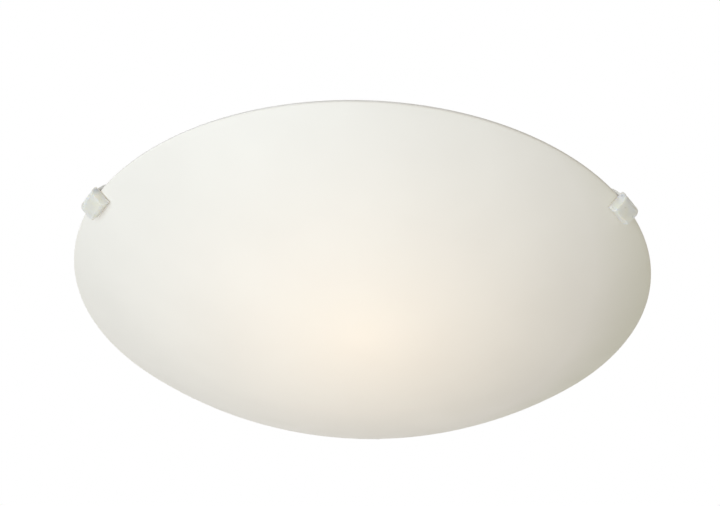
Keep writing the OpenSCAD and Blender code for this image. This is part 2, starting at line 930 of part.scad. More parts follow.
module block_screws() {
    head_z = floor_z - block_h + 4;
    color("silver")
        for (side = [-1, 1])
            translate([side * pole_pitch / 2, block_y, 0])
                difference() {
                    union() {
                        translate([0, 0, head_z - screw_head_h]) cylinder(r = screw_head_r, h = screw_head_h);
                        translate([0, 0, head_z - 0.5])
                            cylinder(r = screw_r, h = -head_z - recess_h + 1.5);
                    }
                    translate([-screw_head_r, -0.4, head_z - screw_head_h - 0.2])
                        cube([2 * screw_head_r, 0.8, 1]);
                }
}

module at_earth() {
    translate([earth_x, earth_y, floor_z]) rotate([0, 0, tag_turn]) children();
}

module earth_tag() {
    color("gold")
        at_earth()
            difference() {
                union() {
                    translate([0, 0, -tag_t]) cylinder(r = tag_r, h = tag_t);
                    translate([0, -barrel_r, -tag_t]) cube([tag_r + 2, 2 * barrel_r, tag_t]);
                    translate([tag_r + 1, 0, -barrel_r])
                        rotate([0, 90, 0]) cylinder(r = barrel_r, h = barrel_l);
                }
                translate([0, 0, -tag_t - 1]) cylinder(r = 2 + snug, h = tag_t + 2);
                translate([tag_r + 3, 0, -barrel_r])
                    rotate([0, 90, 0]) cylinder(r = wire_d / 2 + free_fit, h = barrel_l);
            }
}

module earth_screw() {
    color("silver")
        translate([earth_x, earth_y, floor_z - tag_t])
            difference() {
                union() {
                    translate([0, 0, -2.4]) cylinder(r1 = 3.1, r2 = 3.6, h = 2.4);
                    translate([0, 0, -0.5]) cylinder(r = 2, h = tag_t + pan_t + 1.7);
                }
                translate([-4, -0.5, -3]) cube([8, 1, 1.4]);
            }
}

function pole_end(pole) = [pole * pole_pitch, block_y - sleeve_l / 2 + 2, pole_z];
function pole_out(pole) = [pole * pole_pitch, block_y - block_w / 2 - 1, pole_z];
function lamp_point(along, across) = [
    along * cos(lamp_az) - across * sin(lamp_az),
    along * sin(lamp_az) + across * cos(lamp_az),
    -lamp_drop
];
function holder_entry(index) = [
    lamp_point(entry_stations[index], -holder_flats / 2 - 5),
    lamp_point(entry_stations[index], -holder_flats / 2 - 1),
    lamp_point(entry_stations[index], -holder_flats / 2 + wire_in)
];
function tag_point(along) = [
    earth_x + along * cos(tag_turn),
    earth_y + along * sin(tag_turn),
    floor_z - barrel_r
];

module wire(points, shade) {
    color(shade) tube_along(smooth_route(points, 4), wire_d / 2, wire_sides, [1, 0, 0.2]);
}

module live_wire() {
    wire([pole_end(-1), pole_out(-1), each live_middle, each holder_entry(1)], "saddlebrown");
}

module neutral_wire() {
    wire([pole_end(0), pole_out(0), each neutral_middle, each holder_entry(0)], "royalblue");
}

module earth_wire() {
    wire(
        [
            pole_end(1), pole_out(1), each earth_middle,
            tag_point(tag_r + barrel_l + 2), tag_point(tag_r + barrel_l - 1), tag_point(tag_r + 4)
        ],
        "yellowgreen"
    );
}

// Shade

module glass_shade() {
    far = 2 * sphere_r;
    color("ivory")
        translate([0, 0, sphere_z])
            rotate_extrude($fn = 180)
                difference() {
                    intersection() {
                        difference() {
                            circle(sphere_r);
                            circle(sphere_r - glass_t);
                        }
                        polygon([[0, 0], [0, -far], [far * sin(rim_slope), -far * cos(rim_slope)]]);
                    }
                    for (depth = [0, glass_t])
                        rotate(rim_slope)
                            translate([0, -sphere_r + depth])
                                rotate(45) square(glass_bevel * sqrt(2), center = true);
                }
}

base_pan();
cable_grommet();
left_arm();
right_arm();
arm_rivets();
left_hook();
right_hook();
release_arm();
release_hook();
release_rod();
release_spring();
release_guide();
guide_rivets();
lampholder_bracket();
bracket_rivets();
holder_screws();
lampholder_body();
screw_shell();
centre_contact();
bulb_globe();
bulb_cap();
bulb_insulator();
bulb_contact();
terminal_block();
terminal_sleeves();
terminal_screws();
block_screws();
earth_tag();
earth_screw();
live_wire();
neutral_wire();
earth_wire();
glass_shade();
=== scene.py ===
# Flush ceiling light: the looks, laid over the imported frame. Lengths are in metres.
# A shallow opal glass dish hangs in three plastic hooks below an enamelled steel pan.
import math

import bpy
from mathutils import Matrix, Vector


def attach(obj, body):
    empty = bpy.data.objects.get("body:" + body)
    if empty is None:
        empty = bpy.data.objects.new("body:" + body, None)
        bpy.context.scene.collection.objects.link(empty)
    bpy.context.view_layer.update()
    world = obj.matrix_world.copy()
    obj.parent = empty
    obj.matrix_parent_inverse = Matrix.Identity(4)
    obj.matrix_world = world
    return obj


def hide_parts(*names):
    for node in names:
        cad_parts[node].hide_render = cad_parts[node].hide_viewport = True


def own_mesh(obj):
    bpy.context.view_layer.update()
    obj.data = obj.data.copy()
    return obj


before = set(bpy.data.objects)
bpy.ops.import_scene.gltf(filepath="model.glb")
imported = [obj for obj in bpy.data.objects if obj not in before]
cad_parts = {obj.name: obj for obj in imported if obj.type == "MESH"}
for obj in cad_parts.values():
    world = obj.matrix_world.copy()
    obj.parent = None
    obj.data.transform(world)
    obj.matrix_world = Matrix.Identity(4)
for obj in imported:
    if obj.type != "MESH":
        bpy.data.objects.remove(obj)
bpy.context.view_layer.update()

MM = 0.001
# transform.rotate turns the other way when there is no window
TURN_SIGN = -1

# Sizes that the frame was built from
DISH_R = 125 * MM
DISH_DEPTH = 46 * MM
GLASS_T = 3 * MM
RIM_DROP = 36 * MM
BALL_R = (DISH_R**2 + DISH_DEPTH**2) / (2 * DISH_DEPTH)
BALL_Z = BALL_R - DISH_DEPTH - RIM_DROP
RIM_SLOPE = math.asin(DISH_R / BALL_R)

FIXTURE = "fixture"
SLIDE = "release_slide"
HOOK_TURNS = {"left": -150, "right": -30, "release": 90}

LAMP_AZ = 30
LAMP_DROP = 36 * MM
GLOBE_R = 22.5 * MM
GLOBE_AT = -11.5 * MM
CAP_FROM = 17 * MM
CAP_END = 40 * MM
CAP_R = 13 * MM
NECK_R = 12.4 * MM
HOLDER_R = 19.2 * MM
HOLDER_END = 60 * MM
HOLDER_FLAT = 13 * MM
LIVE_ENTRY = 56 * MM
NEUTRAL_ENTRY = 51 * MM


# Shaping tools


def clear_bench():
    """Nothing is selected, and no piece is open for editing."""
    if bpy.context.object is not None and bpy.context.object.mode != "OBJECT":
        bpy.ops.object.mode_set(mode="OBJECT")
    bpy.ops.object.select_all(action="DESELECT")


def take(piece):
    clear_bench()
    piece.select_set(True)
    bpy.context.view_layer.objects.active = piece


def new_piece(name):
    """Names the primitive that was just added."""
    piece = bpy.context.object
    piece.name = name
    piece.data.name = name
    return piece


def settle(piece, matrix=None):
    """Puts a piece's place into its mesh."""
    take(piece)
    if matrix is not None:
        piece.matrix_world = matrix @ piece.matrix_world
    bpy.ops.object.transform_apply(location=True, rotation=True, scale=True)


def open_faces(piece, chosen):
    """Opens the piece with the faces selected that chosen(centre, normal) picks."""
    take(piece)
    bpy.context.tool_settings.mesh_select_mode = (False, False, True)
    for point in piece.data.vertices:
        point.select = False
    for line in piece.data.edges:
        line.select = False
    for face in piece.data.polygons:
        face.select = bool(chosen(face.center, face.normal))
    bpy.ops.object.mode_set(mode="EDIT")


def open_edges(piece, chosen):
    """Opens the piece with the edges selected that chosen(start, end) picks."""
    take(piece)
    bpy.context.tool_settings.mesh_select_mode = (False, True, False)
    points = piece.data.vertices
    for point in points:
        point.select = False
    for face in piece.data.polygons:
        face.select = False
    for line in piece.data.edges:
        a, b = line.vertices
        line.select = bool(chosen(points[a].co, points[b].co))
        if line.select:
            points[a].select = True
            points[b].select = True
    bpy.ops.object.mode_set(mode="EDIT")


def open_all(piece):
    take(piece)
    bpy.ops.object.mode_set(mode="EDIT")
    bpy.ops.mesh.select_all(action="SELECT")


def close(piece):
    if piece.mode != "OBJECT":
        bpy.ops.object.mode_set(mode="OBJECT")


def slice_at(piece, point, normal, drop_outer=False, drop_inner=False):
    open_all(piece)
    bpy.ops.mesh.bisect(
        plane_co=point, plane_no=normal, clear_outer=drop_outer, clear_inner=drop_inner
    )
    close(piece)


def finish_with(piece, kind, **settings):
    """Adds a modifier and applies it."""
    take(piece)
    tool = piece.modifiers.new(kind.title(), kind)
    for key, value in settings.items():
        setattr(tool, key, value)
    bpy.ops.object.modifier_apply(modifier=tool.name)


def soften(piece, width, segments=2, angle=30):
    """Rounds the edges that are sharper than the angle."""
    finish_with(
        piece,
        "BEVEL",
        width=width,
        segments=segments,
        limit_method="ANGLE",
        angle_limit=math.radians(angle),
        use_clamp_overlap=True,
        harden_normals=False,
    )


def smooth(piece, angle=35):
    take(piece)
    bpy.ops.object.shade_smooth_by_angle(angle=math.radians(angle))


def smooth_flats(piece, angle):
    """Smooth shading in which the large flat faces stay flat."""
    smooth(piece, angle)
    finish_with(piece, "WEIGHTED_NORMAL", keep_sharp=True)


def copy_piece(piece, name, matrix=None):
    """A copy with its own mesh."""
    clear_bench()
    twin = bpy.data.objects.new(name, piece.data.copy())
    twin.data.name = name
    bpy.context.scene.collection.objects.link(twin)
    if matrix is not None:
        settle(twin, matrix)
    return twin


def join_pieces(pieces, name):
    clear_bench()
    for piece in pieces:
        piece.select_set(True)
    bpy.context.view_layer.objects.active = pieces[0]
    bpy.ops.object.join()
    pieces[0].name = name
    pieces[0].data.name = name
    return pieces[0]


def set_out(pattern, name, matrices):
    """Copies of one pattern at each of its places, joined; the pattern itself is used up."""
    copies = [copy_piece(pattern, f"{name}_{i}", matrix) for i, matrix in enumerate(matrices)]
    bpy.data.objects.remove(pattern, do_unlink=True)
    return join_pieces(copies, name)


def cut_away(piece, *cutters):
    """Cuts the cutters out of the piece and throws them away."""
    for cutter in cutters:
        settle(cutter)
        finish_with(piece, "BOOLEAN", object=cutter, operation="DIFFERENCE", solver="EXACT")
        bpy.data.objects.remove(cutter, do_unlink=True)


def block_cutter(low, high):
    clear_bench()
    bpy.ops.mesh.primitive_cube_add(
        size=1,
        location=[(a + b) / 2 for a, b in zip(low, high)],
        scale=[b - a for a, b in zip(low, high)],
    )
    return new_piece("cutter")


def drill(radius, start, end, sides=32):
    clear_bench()
    start, end = Vector(start), Vector(end)
    bpy.ops.mesh.primitive_cylinder_add(vertices=sides, radius=radius, depth=(end - start).length)
    tool = new_piece("drill")
    turn = (end - start).to_track_quat("Z", "Y").to_matrix().to_4x4()
    tool.matrix_world = Matrix.Translation((start + end) / 2) @ turn
    return tool


def throw(name, rings, sides=96, hollow=False):
    """Draws a circle out and resizes it ring by ring, as on a lathe. Rings are (radius, height)."""
    clear_bench()
    radius, height = rings[0]
    bpy.ops.mesh.primitive_circle_add(vertices=sides, radius=radius, location=(0, 0, height))
    piece = new_piece(name)
    bpy.context.tool_settings.mesh_select_mode = (False, True, False)
    open_all(piece)
    for next_radius, next_height in rings[1:]:
        bpy.ops.mesh.extrude_region_move(
            TRANSFORM_OT_translate={"value": (0, 0, next_height - height)}
        )
        factor = next_radius / radius
        bpy.ops.transform.resize(value=(factor, factor, 1), center_override=(0, 0, next_height))
        radius, height = next_radius, next_height
    bpy.ops.mesh.select_all(action="SELECT")
    if hollow:
        bpy.ops.mesh.remove_doubles(threshold=1e-6)
    else:
        bpy.ops.mesh.fill_holes(sides=0)
    bpy.ops.mesh.select_all(action="SELECT")
    bpy.ops.mesh.normals_make_consistent(inside=False)
    close(piece)
    settle(piece)
    return piece


def eased_copy(node, name, width, segments=2):
    """A copy of a frame piece, made whole, with its sharp edges eased."""
    clear_bench()
    piece = bpy.data.objects.new(name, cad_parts[node].data.copy())
    piece.data.name = name
    bpy.context.scene.collection.objects.link(piece)
    open_all(piece)
    bpy.ops.mesh.remove_doubles(threshold=2e-6)
    bpy.ops.mesh.dissolve_limited(angle_limit=math.radians(0.6))
    close(piece)
    soften(piece, width, segments, 25)
    smooth_flats(piece, 35)
    return piece


def turned(azimuth):
    return Matrix.Rotation(math.radians(azimuth), 4, "Z")


def on_lamp_axis():
    """Turns what was built up along +Z so that it lies on the axis of the bulb."""
    return (
        Matrix.Translation((0, 0, -LAMP_DROP))
        @ turned(LAMP_AZ)
        @ Matrix.Rotation(math.radians(90), 4, "Y")
    )


def at_rim(azimuth):
    """The frame of the glass edge: x runs out along the sheet, z square to it and up."""
    return (
        turned(azimuth)
        @ Matrix.Translation((DISH_R, 0, -RIM_DROP))
        @ Matrix.Rotation(-RIM_SLOPE, 4, "Y")
    )


def seat(piece, body, finish, slot, *nodes):
    """Gives a finished piece its finish, its body and the frame nodes that it stands for."""
    close(piece)
    piece.data.materials.clear()
    piece.data.materials.append(finish)
    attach(piece, body)
    if nodes:
        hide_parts(*nodes)
    return piece


# Finishes


def start_finish(name, colour, roughness, **sockets):
    """A material, its shader and the place on the piece; constants sit on the shader's sockets."""
    finish = bpy.data.materials.new(name)
    finish.use_nodes = True
    nodes = finish.node_tree.nodes
    shader = nodes["Principled BSDF"]
    shader.inputs["Base Color"].default_value = (*colour, 1)
    shader.inputs["Roughness"].default_value = roughness
    for socket, value in sockets.items():
        shader.inputs[socket.replace("_", " ")].default_value = value
    place = nodes.new("ShaderNodeTexCoord")
    return finish, shader, place.outputs["Object"]


def grain(finish, where, scale, detail=3, roughness=0.5, stretch=None):
    """Noise over the piece. stretch draws it out along an axis."""
    nodes, links = finish.node_tree.nodes, finish.node_tree.links
    if stretch is not None:
        mapping = nodes.new("ShaderNodeMapping")
        mapping.inputs["Scale"].default_value = stretch
        links.new(where, mapping.inputs["Vector"])
        where = mapping.outputs["Vector"]
    noise = nodes.new("ShaderNodeTexNoise")
    noise.inputs["Scale"].default_value = scale
    noise.inputs["Detail"].default_value = detail
    noise.inputs["Roughness"].default_value = roughness
    links.new(where, noise.inputs["Vector"])
    return noise.outputs["Fac"]


def spread(finish, value, low, high, to_low, to_high):
    """Maps a value from one span to another, clamped."""
    nodes, links = finish.node_tree.nodes, finish.node_tree.links
    span = nodes.new("ShaderNodeMapRange")
    span.inputs["From Min"].default_value = low
    span.inputs["From Max"].default_value = high
    span.inputs["To Min"].default_value = to_low
    span.inputs["To Max"].default_value = to_high
    links.new(value, span.inputs["Value"])
    return span.outputs["Result"]


def tint(finish, shader, value, stops):
    """Colours the surface by a value, from stops of (place, colour)."""
    nodes, links = finish.node_tree.nodes, finish.node_tree.links
    ramp = nodes.new("ShaderNodeValToRGB")
    points = ramp.color_ramp.elements
    while len(points) < len(stops):
        points.new(0.5)
    for point, (at, colour) in zip(points, stops):
        point.position = at
        point.color = (*colour, 1)
    links.new(value, ramp.inputs["Fac"])
    links.new(ramp.outputs["Color"], shader.inputs["Base Color"])
    return ramp


def raise_grain(finish, shader, value, height, strength=1):
    nodes, links = finish.node_tree.nodes, finish.node_tree.links
    bump = nodes.new("ShaderNodeBump")
    bump.inputs["Distance"].default_value = height
    bump.inputs["Strength"].default_value = strength
    links.new(value, bump.inputs["Height"])
    links.new(bump.outputs["Normal"], shader.inputs["Normal"])
    return bump


def feed(finish, value, socket):
    finish.node_tree.links.new(value, socket)


def mottle(finish, shader, noise, low, high):
    """Lets the roughness wander between two values."""
    feed(finish, spread(finish, noise, 0.3, 0.7, low, high), shader.inputs["Roughness"])


def shade(colour, factor):
    return tuple(min(1, c * factor) for c in colour)


def distance_from(finish, where, centre):
    """How far a point of the piece is from a place in the frame."""
    nodes, links = finish.node_tree.nodes, finish.node_tree.links
    measure = nodes.new("ShaderNodeVectorMath")
    measure.operation = "DISTANCE"
    measure.inputs[1].default_value = centre
    links.new(where, measure.inputs[0])
    return measure.outputs["Value"]


def arithmetic(finish, operation, *values):
    nodes, links = finish.node_tree.nodes, finish.node_tree.links
    step = nodes.new("ShaderNodeMath")
    step.operation = operation
    for socket, value in zip(step.inputs, values):
        if isinstance(value, (int, float)):
            socket.default_value = value
        else:
            links.new(value, socket)
    return step.outputs["Value"]


def height_of(finish, where):
    nodes, links = finish.node_tree.nodes, finish.node_tree.links
    split = nodes.new("ShaderNodeSeparateXYZ")
    links.new(where, split.inputs["Vector"])
    return split.outputs["Z"]


def cover(finish, shader, value, colour):
    """Lays a second colour over the surface where the value is high."""
    nodes, links = finish.node_tree.nodes, finish.node_tree.links
    mix = nodes.new("ShaderNodeMix")
    mix.data_type = "RGBA"
    under = shader.inputs["Base Color"].links[0].from_socket
    links.new(value, mix.inputs["Factor"])
    links.new(under, mix.inputs["A"])
    mix.inputs["B"].default_value = (*colour, 1)
    links.new(mix.outputs["Result"], shader.inputs["Base Color"])


def opal_dish_glass():
    """Satin opal glass, with the lamp's warm glow painted on as emission, strongest behind its
    middle.
    """
    body = (0.83, 0.825, 0.79)
    finish, shader, where = start_finish(
        "opal_dish_glass",
        body,
        0.42,
        Specular_IOR_Level=0.12,
        IOR=1.5,
        Emission_Color=(1.0, 0.66, 0.33, 1),
    )
    cloud = grain(finish, where, 22, detail=2)
    tint(finish, shader, cloud, [(0.3, shade(body, 0.975)), (0.7, shade(body, 1.015))])
    mottle(finish, shader, grain(finish, where, 60), 0.38, 0.46)
    # painted glow: a warm emission over the whole dish, stronger near the bulb, stands in for the
    # light coming through the glass
    centre = (0.002, -0.028, -0.079)
    near = distance_from(finish, where, centre)
    glow = spread(finish, near, 0.0, 0.138, 1.0, 0.0)
    glow = arithmetic(finish, "POWER", glow, 1.7)
    glow = arithmetic(finish, "MULTIPLY_ADD", glow, 0.25, 0.07)
    # the painted glow shows on the outer face, and less on the inner one
    reach = distance_from(finish, where, (0, 0, BALL_Z))
    outward = spread(finish, reach, BALL_R - GLASS_T, BALL_R - 0.4 * MM, 0.15, 1.0)
    glow = arithmetic(finish, "MULTIPLY", glow, outward)
    # painted shade: the side of the dish away from the key lamp is coloured darker and yellower
    away_from_key_lamp = distance_from(finish, where, (-0.03, -0.03, -0.06))
    cover(finish, shader, spread(finish, away_from_key_lamp, 0.128, 0.168, 0.0, 1.0), (0.66, 0.675, 0.58))
    # the ground edge is greyer
    height = height_of(finish, where)
    edge = spread(finish, height, -RIM_DROP - 0.3 * MM, -RIM_DROP + 0.4 * MM, 0.0, 0.85)
    cover(finish, shader, edge, (0.58, 0.6, 0.63))
    feed(finish, glow, shader.inputs["Emission Strength"])
    raise_grain(finish, shader, grain(finish, where, 1400, detail=2), 0.00002, 0.25)
    return finish


def milky_hook_plastic():
    body = (0.755, 0.75, 0.69)
    finish, shader, where = start_finish(
        "milky_hook_plastic",
        body,
        0.33,
        Subsurface_Weight=1.0,
        Subsurface_Radius=(0.008, 0.007, 0.005),
        Subsurface_Scale=1.0,
        Transmission_Weight=0.15,
        Specular_IOR_Level=0.16,
        IOR=1.49,
        # painted light: a faint warm emission lifts the hook's shaded faces, as light from the lit
        # dish through the plastic would
        Emission_Color=(1.0, 0.95, 0.88, 1),
        Emission_Strength=0.07,
    )
    tint(
        finish,
        shader,
        grain(finish, where, 180, detail=3),
        [(0.3, shade(body, 0.95)), (0.7, shade(body, 1.03))],
    )
    mottle(finish, shader, grain(finish, where, 500), 0.27, 0.4)
    raise_grain(finish, shader, grain(finish, where, 1200), 0.00002, 0.15)
    return finish


def white_enamel(name, body, roughness=0.38):
    """Stoved white enamel on steel: a fine orange peel and a faint unevenness."""
    finish, shader, where = start_finish(
        name, body, roughness, Coat_Weight=0.2, Coat_Roughness=0.2, IOR=1.5
    )
    tint(
        finish,
        shader,
        grain(finish, where, 35, detail=5),
        [(0.28, shade(body, 0.955)), (0.62, body), (0.8, shade(body, 1.02))],
    )
    mottle(finish, shader, grain(finish, where, 90, detail=4), roughness - 0.05, roughness + 0.09)
    raise_grain(finish, shader, grain(finish, where, 850, detail=2), 0.00006, 0.35)
    return finish


def worked_metal(name, body, roughness, stretch=(1, 1, 1), dark=0.82, bump=0.00002):
    """Drawn or plated metal: its grain runs along one axis, with dull patches."""
    finish, shader, where = start_finish(name, body, roughness, Metallic=1.0)
    lines = grain(finish, where, 420, detail=4, roughness=0.6, stretch=stretch)
    patches = grain(finish, where, 60, detail=4)
    tint(finish, shader, patches, [(0.3, shade(body, dark)), (0.6, body), (0.8, shade(body, 1.06))])
    mottle(finish, shader, lines, roughness - 0.08, roughness + 0.12)
    raise_grain(finish, shader, lines, bump, 0.3)
    return finish


def moulded(name, body, roughness, height=0.00004, **sockets):
    """Moulded plastic, porcelain or rubber: an even fine grain and slight flow marks."""
    finish, shader, where = start_finish(name, body, roughness, IOR=1.49, **sockets)
    flow = grain(finish, where, 55, detail=4)
    tint(finish, shader, flow, [(0.3, shade(body, 0.92)), (0.65, body), (0.85, shade(body, 1.04))])
    mottle(finish, shader, grain(finish, where, 140), roughness - 0.06, roughness + 0.08)
    raise_grain(finish, shader, grain(finish, where, 1100), height, 0.4)
    return finish


def lit_bulb_glass():
    """Opal bulb glass, brightest round its middle and duller towards the neck."""
    body = (0.9, 0.89, 0.85)
    finish, shader, where = start_finish(
        "lit_bulb_glass",
        body,
        0.3,
        Coat_Weight=0.3,
        Coat_Roughness=0.1,
        Emission_Color=(1.0, 0.86, 0.64, 1),
    )
    cloud = grain(finish, where, 45)
    tint(finish, shader, cloud, [(0.3, shade(body, 0.97)), (0.7, shade(body, 1.02))])
    middle = on_lamp_axis() @ Vector((0, 0, GLOBE_AT))
    near = distance_from(finish, where, middle)
    feed(finish, spread(finish, near, 0.02, 0.034, 0.75, 0.2), shader.inputs["Emission Strength"])
    raise_grain(finish, shader, grain(finish, where, 1300), 0.00001, 0.2)
    return finish


opal = opal_dish_glass()
hook_white = milky_hook_plastic()
pan_white = white_enamel("pan_enamel", (0.79, 0.785, 0.765))
arm_white = white_enamel("arm_enamel", (0.77, 0.765, 0.745), 0.34)
zinc = worked_metal("zinc_plated_steel", (0.66, 0.665, 0.67), 0.34, (1, 1, 6))
rivet_zinc = worked_metal("rivet_steel", (0.68, 0.68, 0.68), 0.3)
screw_zinc = worked_metal("screw_steel", (0.62, 0.625, 0.63), 0.28)
spring_wire = worked_metal("spring_wire", (0.52, 0.53, 0.54), 0.26)
brass = worked_metal("terminal_brass", (0.78, 0.6, 0.3), 0.28)
solder = worked_metal("contact_solder", (0.6, 0.6, 0.6), 0.42, bump=0.00008)
cap_metal = worked_metal("cap_aluminium", (0.76, 0.765, 0.77), 0.3, (1, 1, 3))
rubber = moulded("grommet_rubber", (0.045, 0.045, 0.047), 0.6, 0.00006)
holder_white = moulded(
    "lampholder_plastic", (0.74, 0.72, 0.67), 0.36, Coat_Weight=0.2, Coat_Roughness=0.15
)
block_white = moulded("terminal_block_plastic", (0.72, 0.71, 0.67), 0.42)
insulator = moulded("cap_insulator_glass", (0.02, 0.018, 0.016), 0.18, 0.00001)
brown_sleeve = moulded("wire_brown", (0.16, 0.065, 0.028), 0.38)
blue_sleeve = moulded("wire_blue", (0.03, 0.11, 0.42), 0.38)
green_sleeve = moulded("wire_green", (0.09, 0.3, 0.05), 0.38)
yellow_stripe = moulded("wire_yellow", (0.78, 0.62, 0.06), 0.38)
bulb_glass = lit_bulb_glass()

CARRIED_FINISHES = {
    "base_pan": pan_white,
    "screw_shell": brass,
    "centre_contact": brass,
    "terminal_sleeves": brass,
}
for node_name, node_finish in CARRIED_FINISHES.items():
    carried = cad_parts[node_name]
    carried.data.materials.clear()
    carried.data.materials.append(node_finish)


# Glass dish


def slump_dish():
    """A sphere's cap, thickened inward, with the ground edge rounded."""
    clear_bench()
    bpy.ops.mesh.primitive_uv_sphere_add(
        segments=256, ring_count=128, radius=BALL_R, location=(0, 0, BALL_Z)
    )
    dish = new_piece("glass_dish")
    settle(dish)
    slice_at(dish, (0, 0, -RIM_DROP), (0, 0, 1), drop_outer=True)
    finish_with(dish, "SOLIDIFY", thickness=GLASS_T, offset=-1, use_rim=True, use_even_offset=True)
    soften(dish, 1.0 * MM, 3, 50)
    smooth(dish, 40)
    return seat(dish, FIXTURE, opal, "shade_opal_glass", "glass_shade")


slump_dish()


# Hooks

FINGER_L = 6.4 * MM
SEAT_GAP = 0.3 * MM
HOOK_W = 11.6 * MM
HOOK_OUT = 2.1 * MM
WALL_FROM = 1.4 * MM
POCKET_FROM = 0.2 * MM
POCKET_W = 10.2 * MM
POCKET_FLOOR = -2.5 * MM
RELEASE_POCKET_FLOOR = -1.7 * MM
TAPER_FROM = -0.2 * MM
HOOK_T = 4.3 * MM
HOOK_ROUND = 3 * MM
HOOK_TIP_ROUND = 1.2 * MM
HOOK_TOP_ROUND = 0.35 * MM
RELEASE_HOOK_T = 2.8 * MM
RELEASE_ROUND = 2.2 * MM
RELEASE_TIP_T = 1.4 * MM
RELEASE_TIP_ROUND = 0.6 * MM
RELEASE_LIP = 0.9 * MM
NEAR = 0.01 * MM


def mould_block(name, thick, outer_round):
    """A block under the glass edge, with its outer lower edge well rounded."""
    top = -SEAT_GAP
    low = top - thick
    clear_bench()
    bpy.ops.mesh.primitive_cube_add(
        size=1,
        location=((HOOK_OUT - FINGER_L) / 2, 0, (low + top) / 2),
        scale=(HOOK_OUT + FINGER_L, HOOK_W, thick),
    )
    hook = new_piece(name)
    settle(hook)
    open_edges(
        hook,
        lambda a, b: min(a.x, b.x) > HOOK_OUT - NEAR and max(a.z, b.z) < low + NEAR,
    )
    bpy.ops.mesh.bevel(offset=outer_round, segments=10, affect="EDGES")
    close(hook)
    open_edges(
        hook,
        lambda a, b: min(a.x, b.x) > HOOK_OUT - NEAR and min(a.z, b.z) > top - NEAR,
    )
    bpy.ops.mesh.bevel(offset=HOOK_TOP_ROUND, segments=3, affect="EDGES")
    close(hook)
    return hook


def round_finger_tip(hook, low, radius):
    open_edges(
        hook,
        lambda a, b: max(a.x, b.x) < -FINGER_L + NEAR and max(a.z, b.z) < low + NEAR,
    )
    bpy.ops.mesh.bevel(offset=radius, segments=6, affect="EDGES")
    close(hook)


def sink_pocket(hook, floor):
    """The pocket that the end of the strip slides into."""
    slice_at(hook, (POCKET_FROM, 0, 0), (1, 0, 0))
    slice_at(hook, (WALL_FROM, 0, 0), (1, 0, 0))
    slice_at(hook, (0, POCKET_W / 2, 0), (0, 1, 0))
    slice_at(hook, (0, -POCKET_W / 2, 0), (0, 1, 0))
    open_faces(
        hook,
        lambda c, n: n.z > 0.9 and POCKET_FROM < c.x < WALL_FROM and abs(c.y) < POCKET_W / 2,
    )
    bpy.ops.mesh.extrude_region_move(TRANSFORM_OT_translate={"value": (0, 0, floor + SEAT_GAP)})
    close(hook)


def finish_hook(hook, side, body):
    soften(hook, 0.22 * MM, 3, 35)
    settle(hook, at_rim(HOOK_TURNS[side]))
    smooth_flats(hook, 40)
    return seat(hook, body, hook_white, "hook_plastic", f"{side}_hook")


def mould_fixed_hook(side):
    hook = mould_block(f"hook_{side}", HOOK_T, HOOK_ROUND)
    round_finger_tip(hook, -SEAT_GAP - HOOK_T, HOOK_TIP_ROUND)
    sink_pocket(hook, POCKET_FLOOR)
    return finish_hook(hook, side, FIXTURE)


def mould_release_hook():
    """Slimmer, with a finger that tapers and a low lip outside the strip."""
    low = -SEAT_GAP - RELEASE_HOOK_T
    hook = mould_block("hook_release", RELEASE_HOOK_T, RELEASE_ROUND)
    slice_at(hook, (TAPER_FROM, 0, 0), (1, 0, 0))
    open_edges(
        hook,
        lambda a, b: max(a.x, b.x) < -FINGER_L + NEAR and max(a.z, b.z) < low + NEAR,
    )
    bpy.ops.transform.translate(value=(0, 0, RELEASE_HOOK_T - RELEASE_TIP_T))
    close(hook)
    round_finger_tip(hook, -SEAT_GAP - RELEASE_TIP_T, RELEASE_TIP_ROUND)
    sink_pocket(hook, RELEASE_POCKET_FLOOR)
    open_faces(hook, lambda c, n: n.z > 0.9 and c.x > WALL_FROM and c.z > -SEAT_GAP - NEAR)
    bpy.ops.mesh.extrude_region_move(TRANSFORM_OT_translate={"value": (0, 0, RELEASE_LIP)})
    close(hook)
    return finish_hook(hook, "release", SLIDE)


mould_fixed_hook("left")
mould_fixed_hook("right")
mould_release_hook()


# Arms: strips bent from flat

ARM_W = 10 * MM
ARM_T = 1 * MM
ARM_GAP = 0.3 * MM
PAN_FLOOR = -3 * MM
BEND_R = 4 * MM
KNEE_R = 3 * MM
KNEE_UP = 3.5 * MM
BEND_OUT = 89 * MM
DROP_ANGLE = math.radians(90) - RIM_SLOPE
FREE_FIT = 0.3 * MM
STRIP_LEVEL = PAN_FLOOR - ARM_T / 2
STRIP_START = 30 * MM
STRIP_TIP = 2.4 * MM
RELEASE_TIP = 1.6 * MM
TAB_AT = 24 * MM
TAB_H = 7.9 * MM
TAB_BEND = 1.1 * MM


def bend_on(piece, centre, angle, steps):
    """Carries the selected end round a centre, a step at a time."""
    for _ in range(steps):
        bpy.ops.mesh.extrude_region_move(TRANSFORM_OT_translate={"value": (0, 0, 0)})
        bpy.ops.transform.rotate(
            value=TURN_SIGN * angle / steps, orient_axis="Y", center_override=centre
        )


def run_on(vector):
    bpy.ops.mesh.extrude_region_move(TRANSFORM_OT_translate={"value": vector})


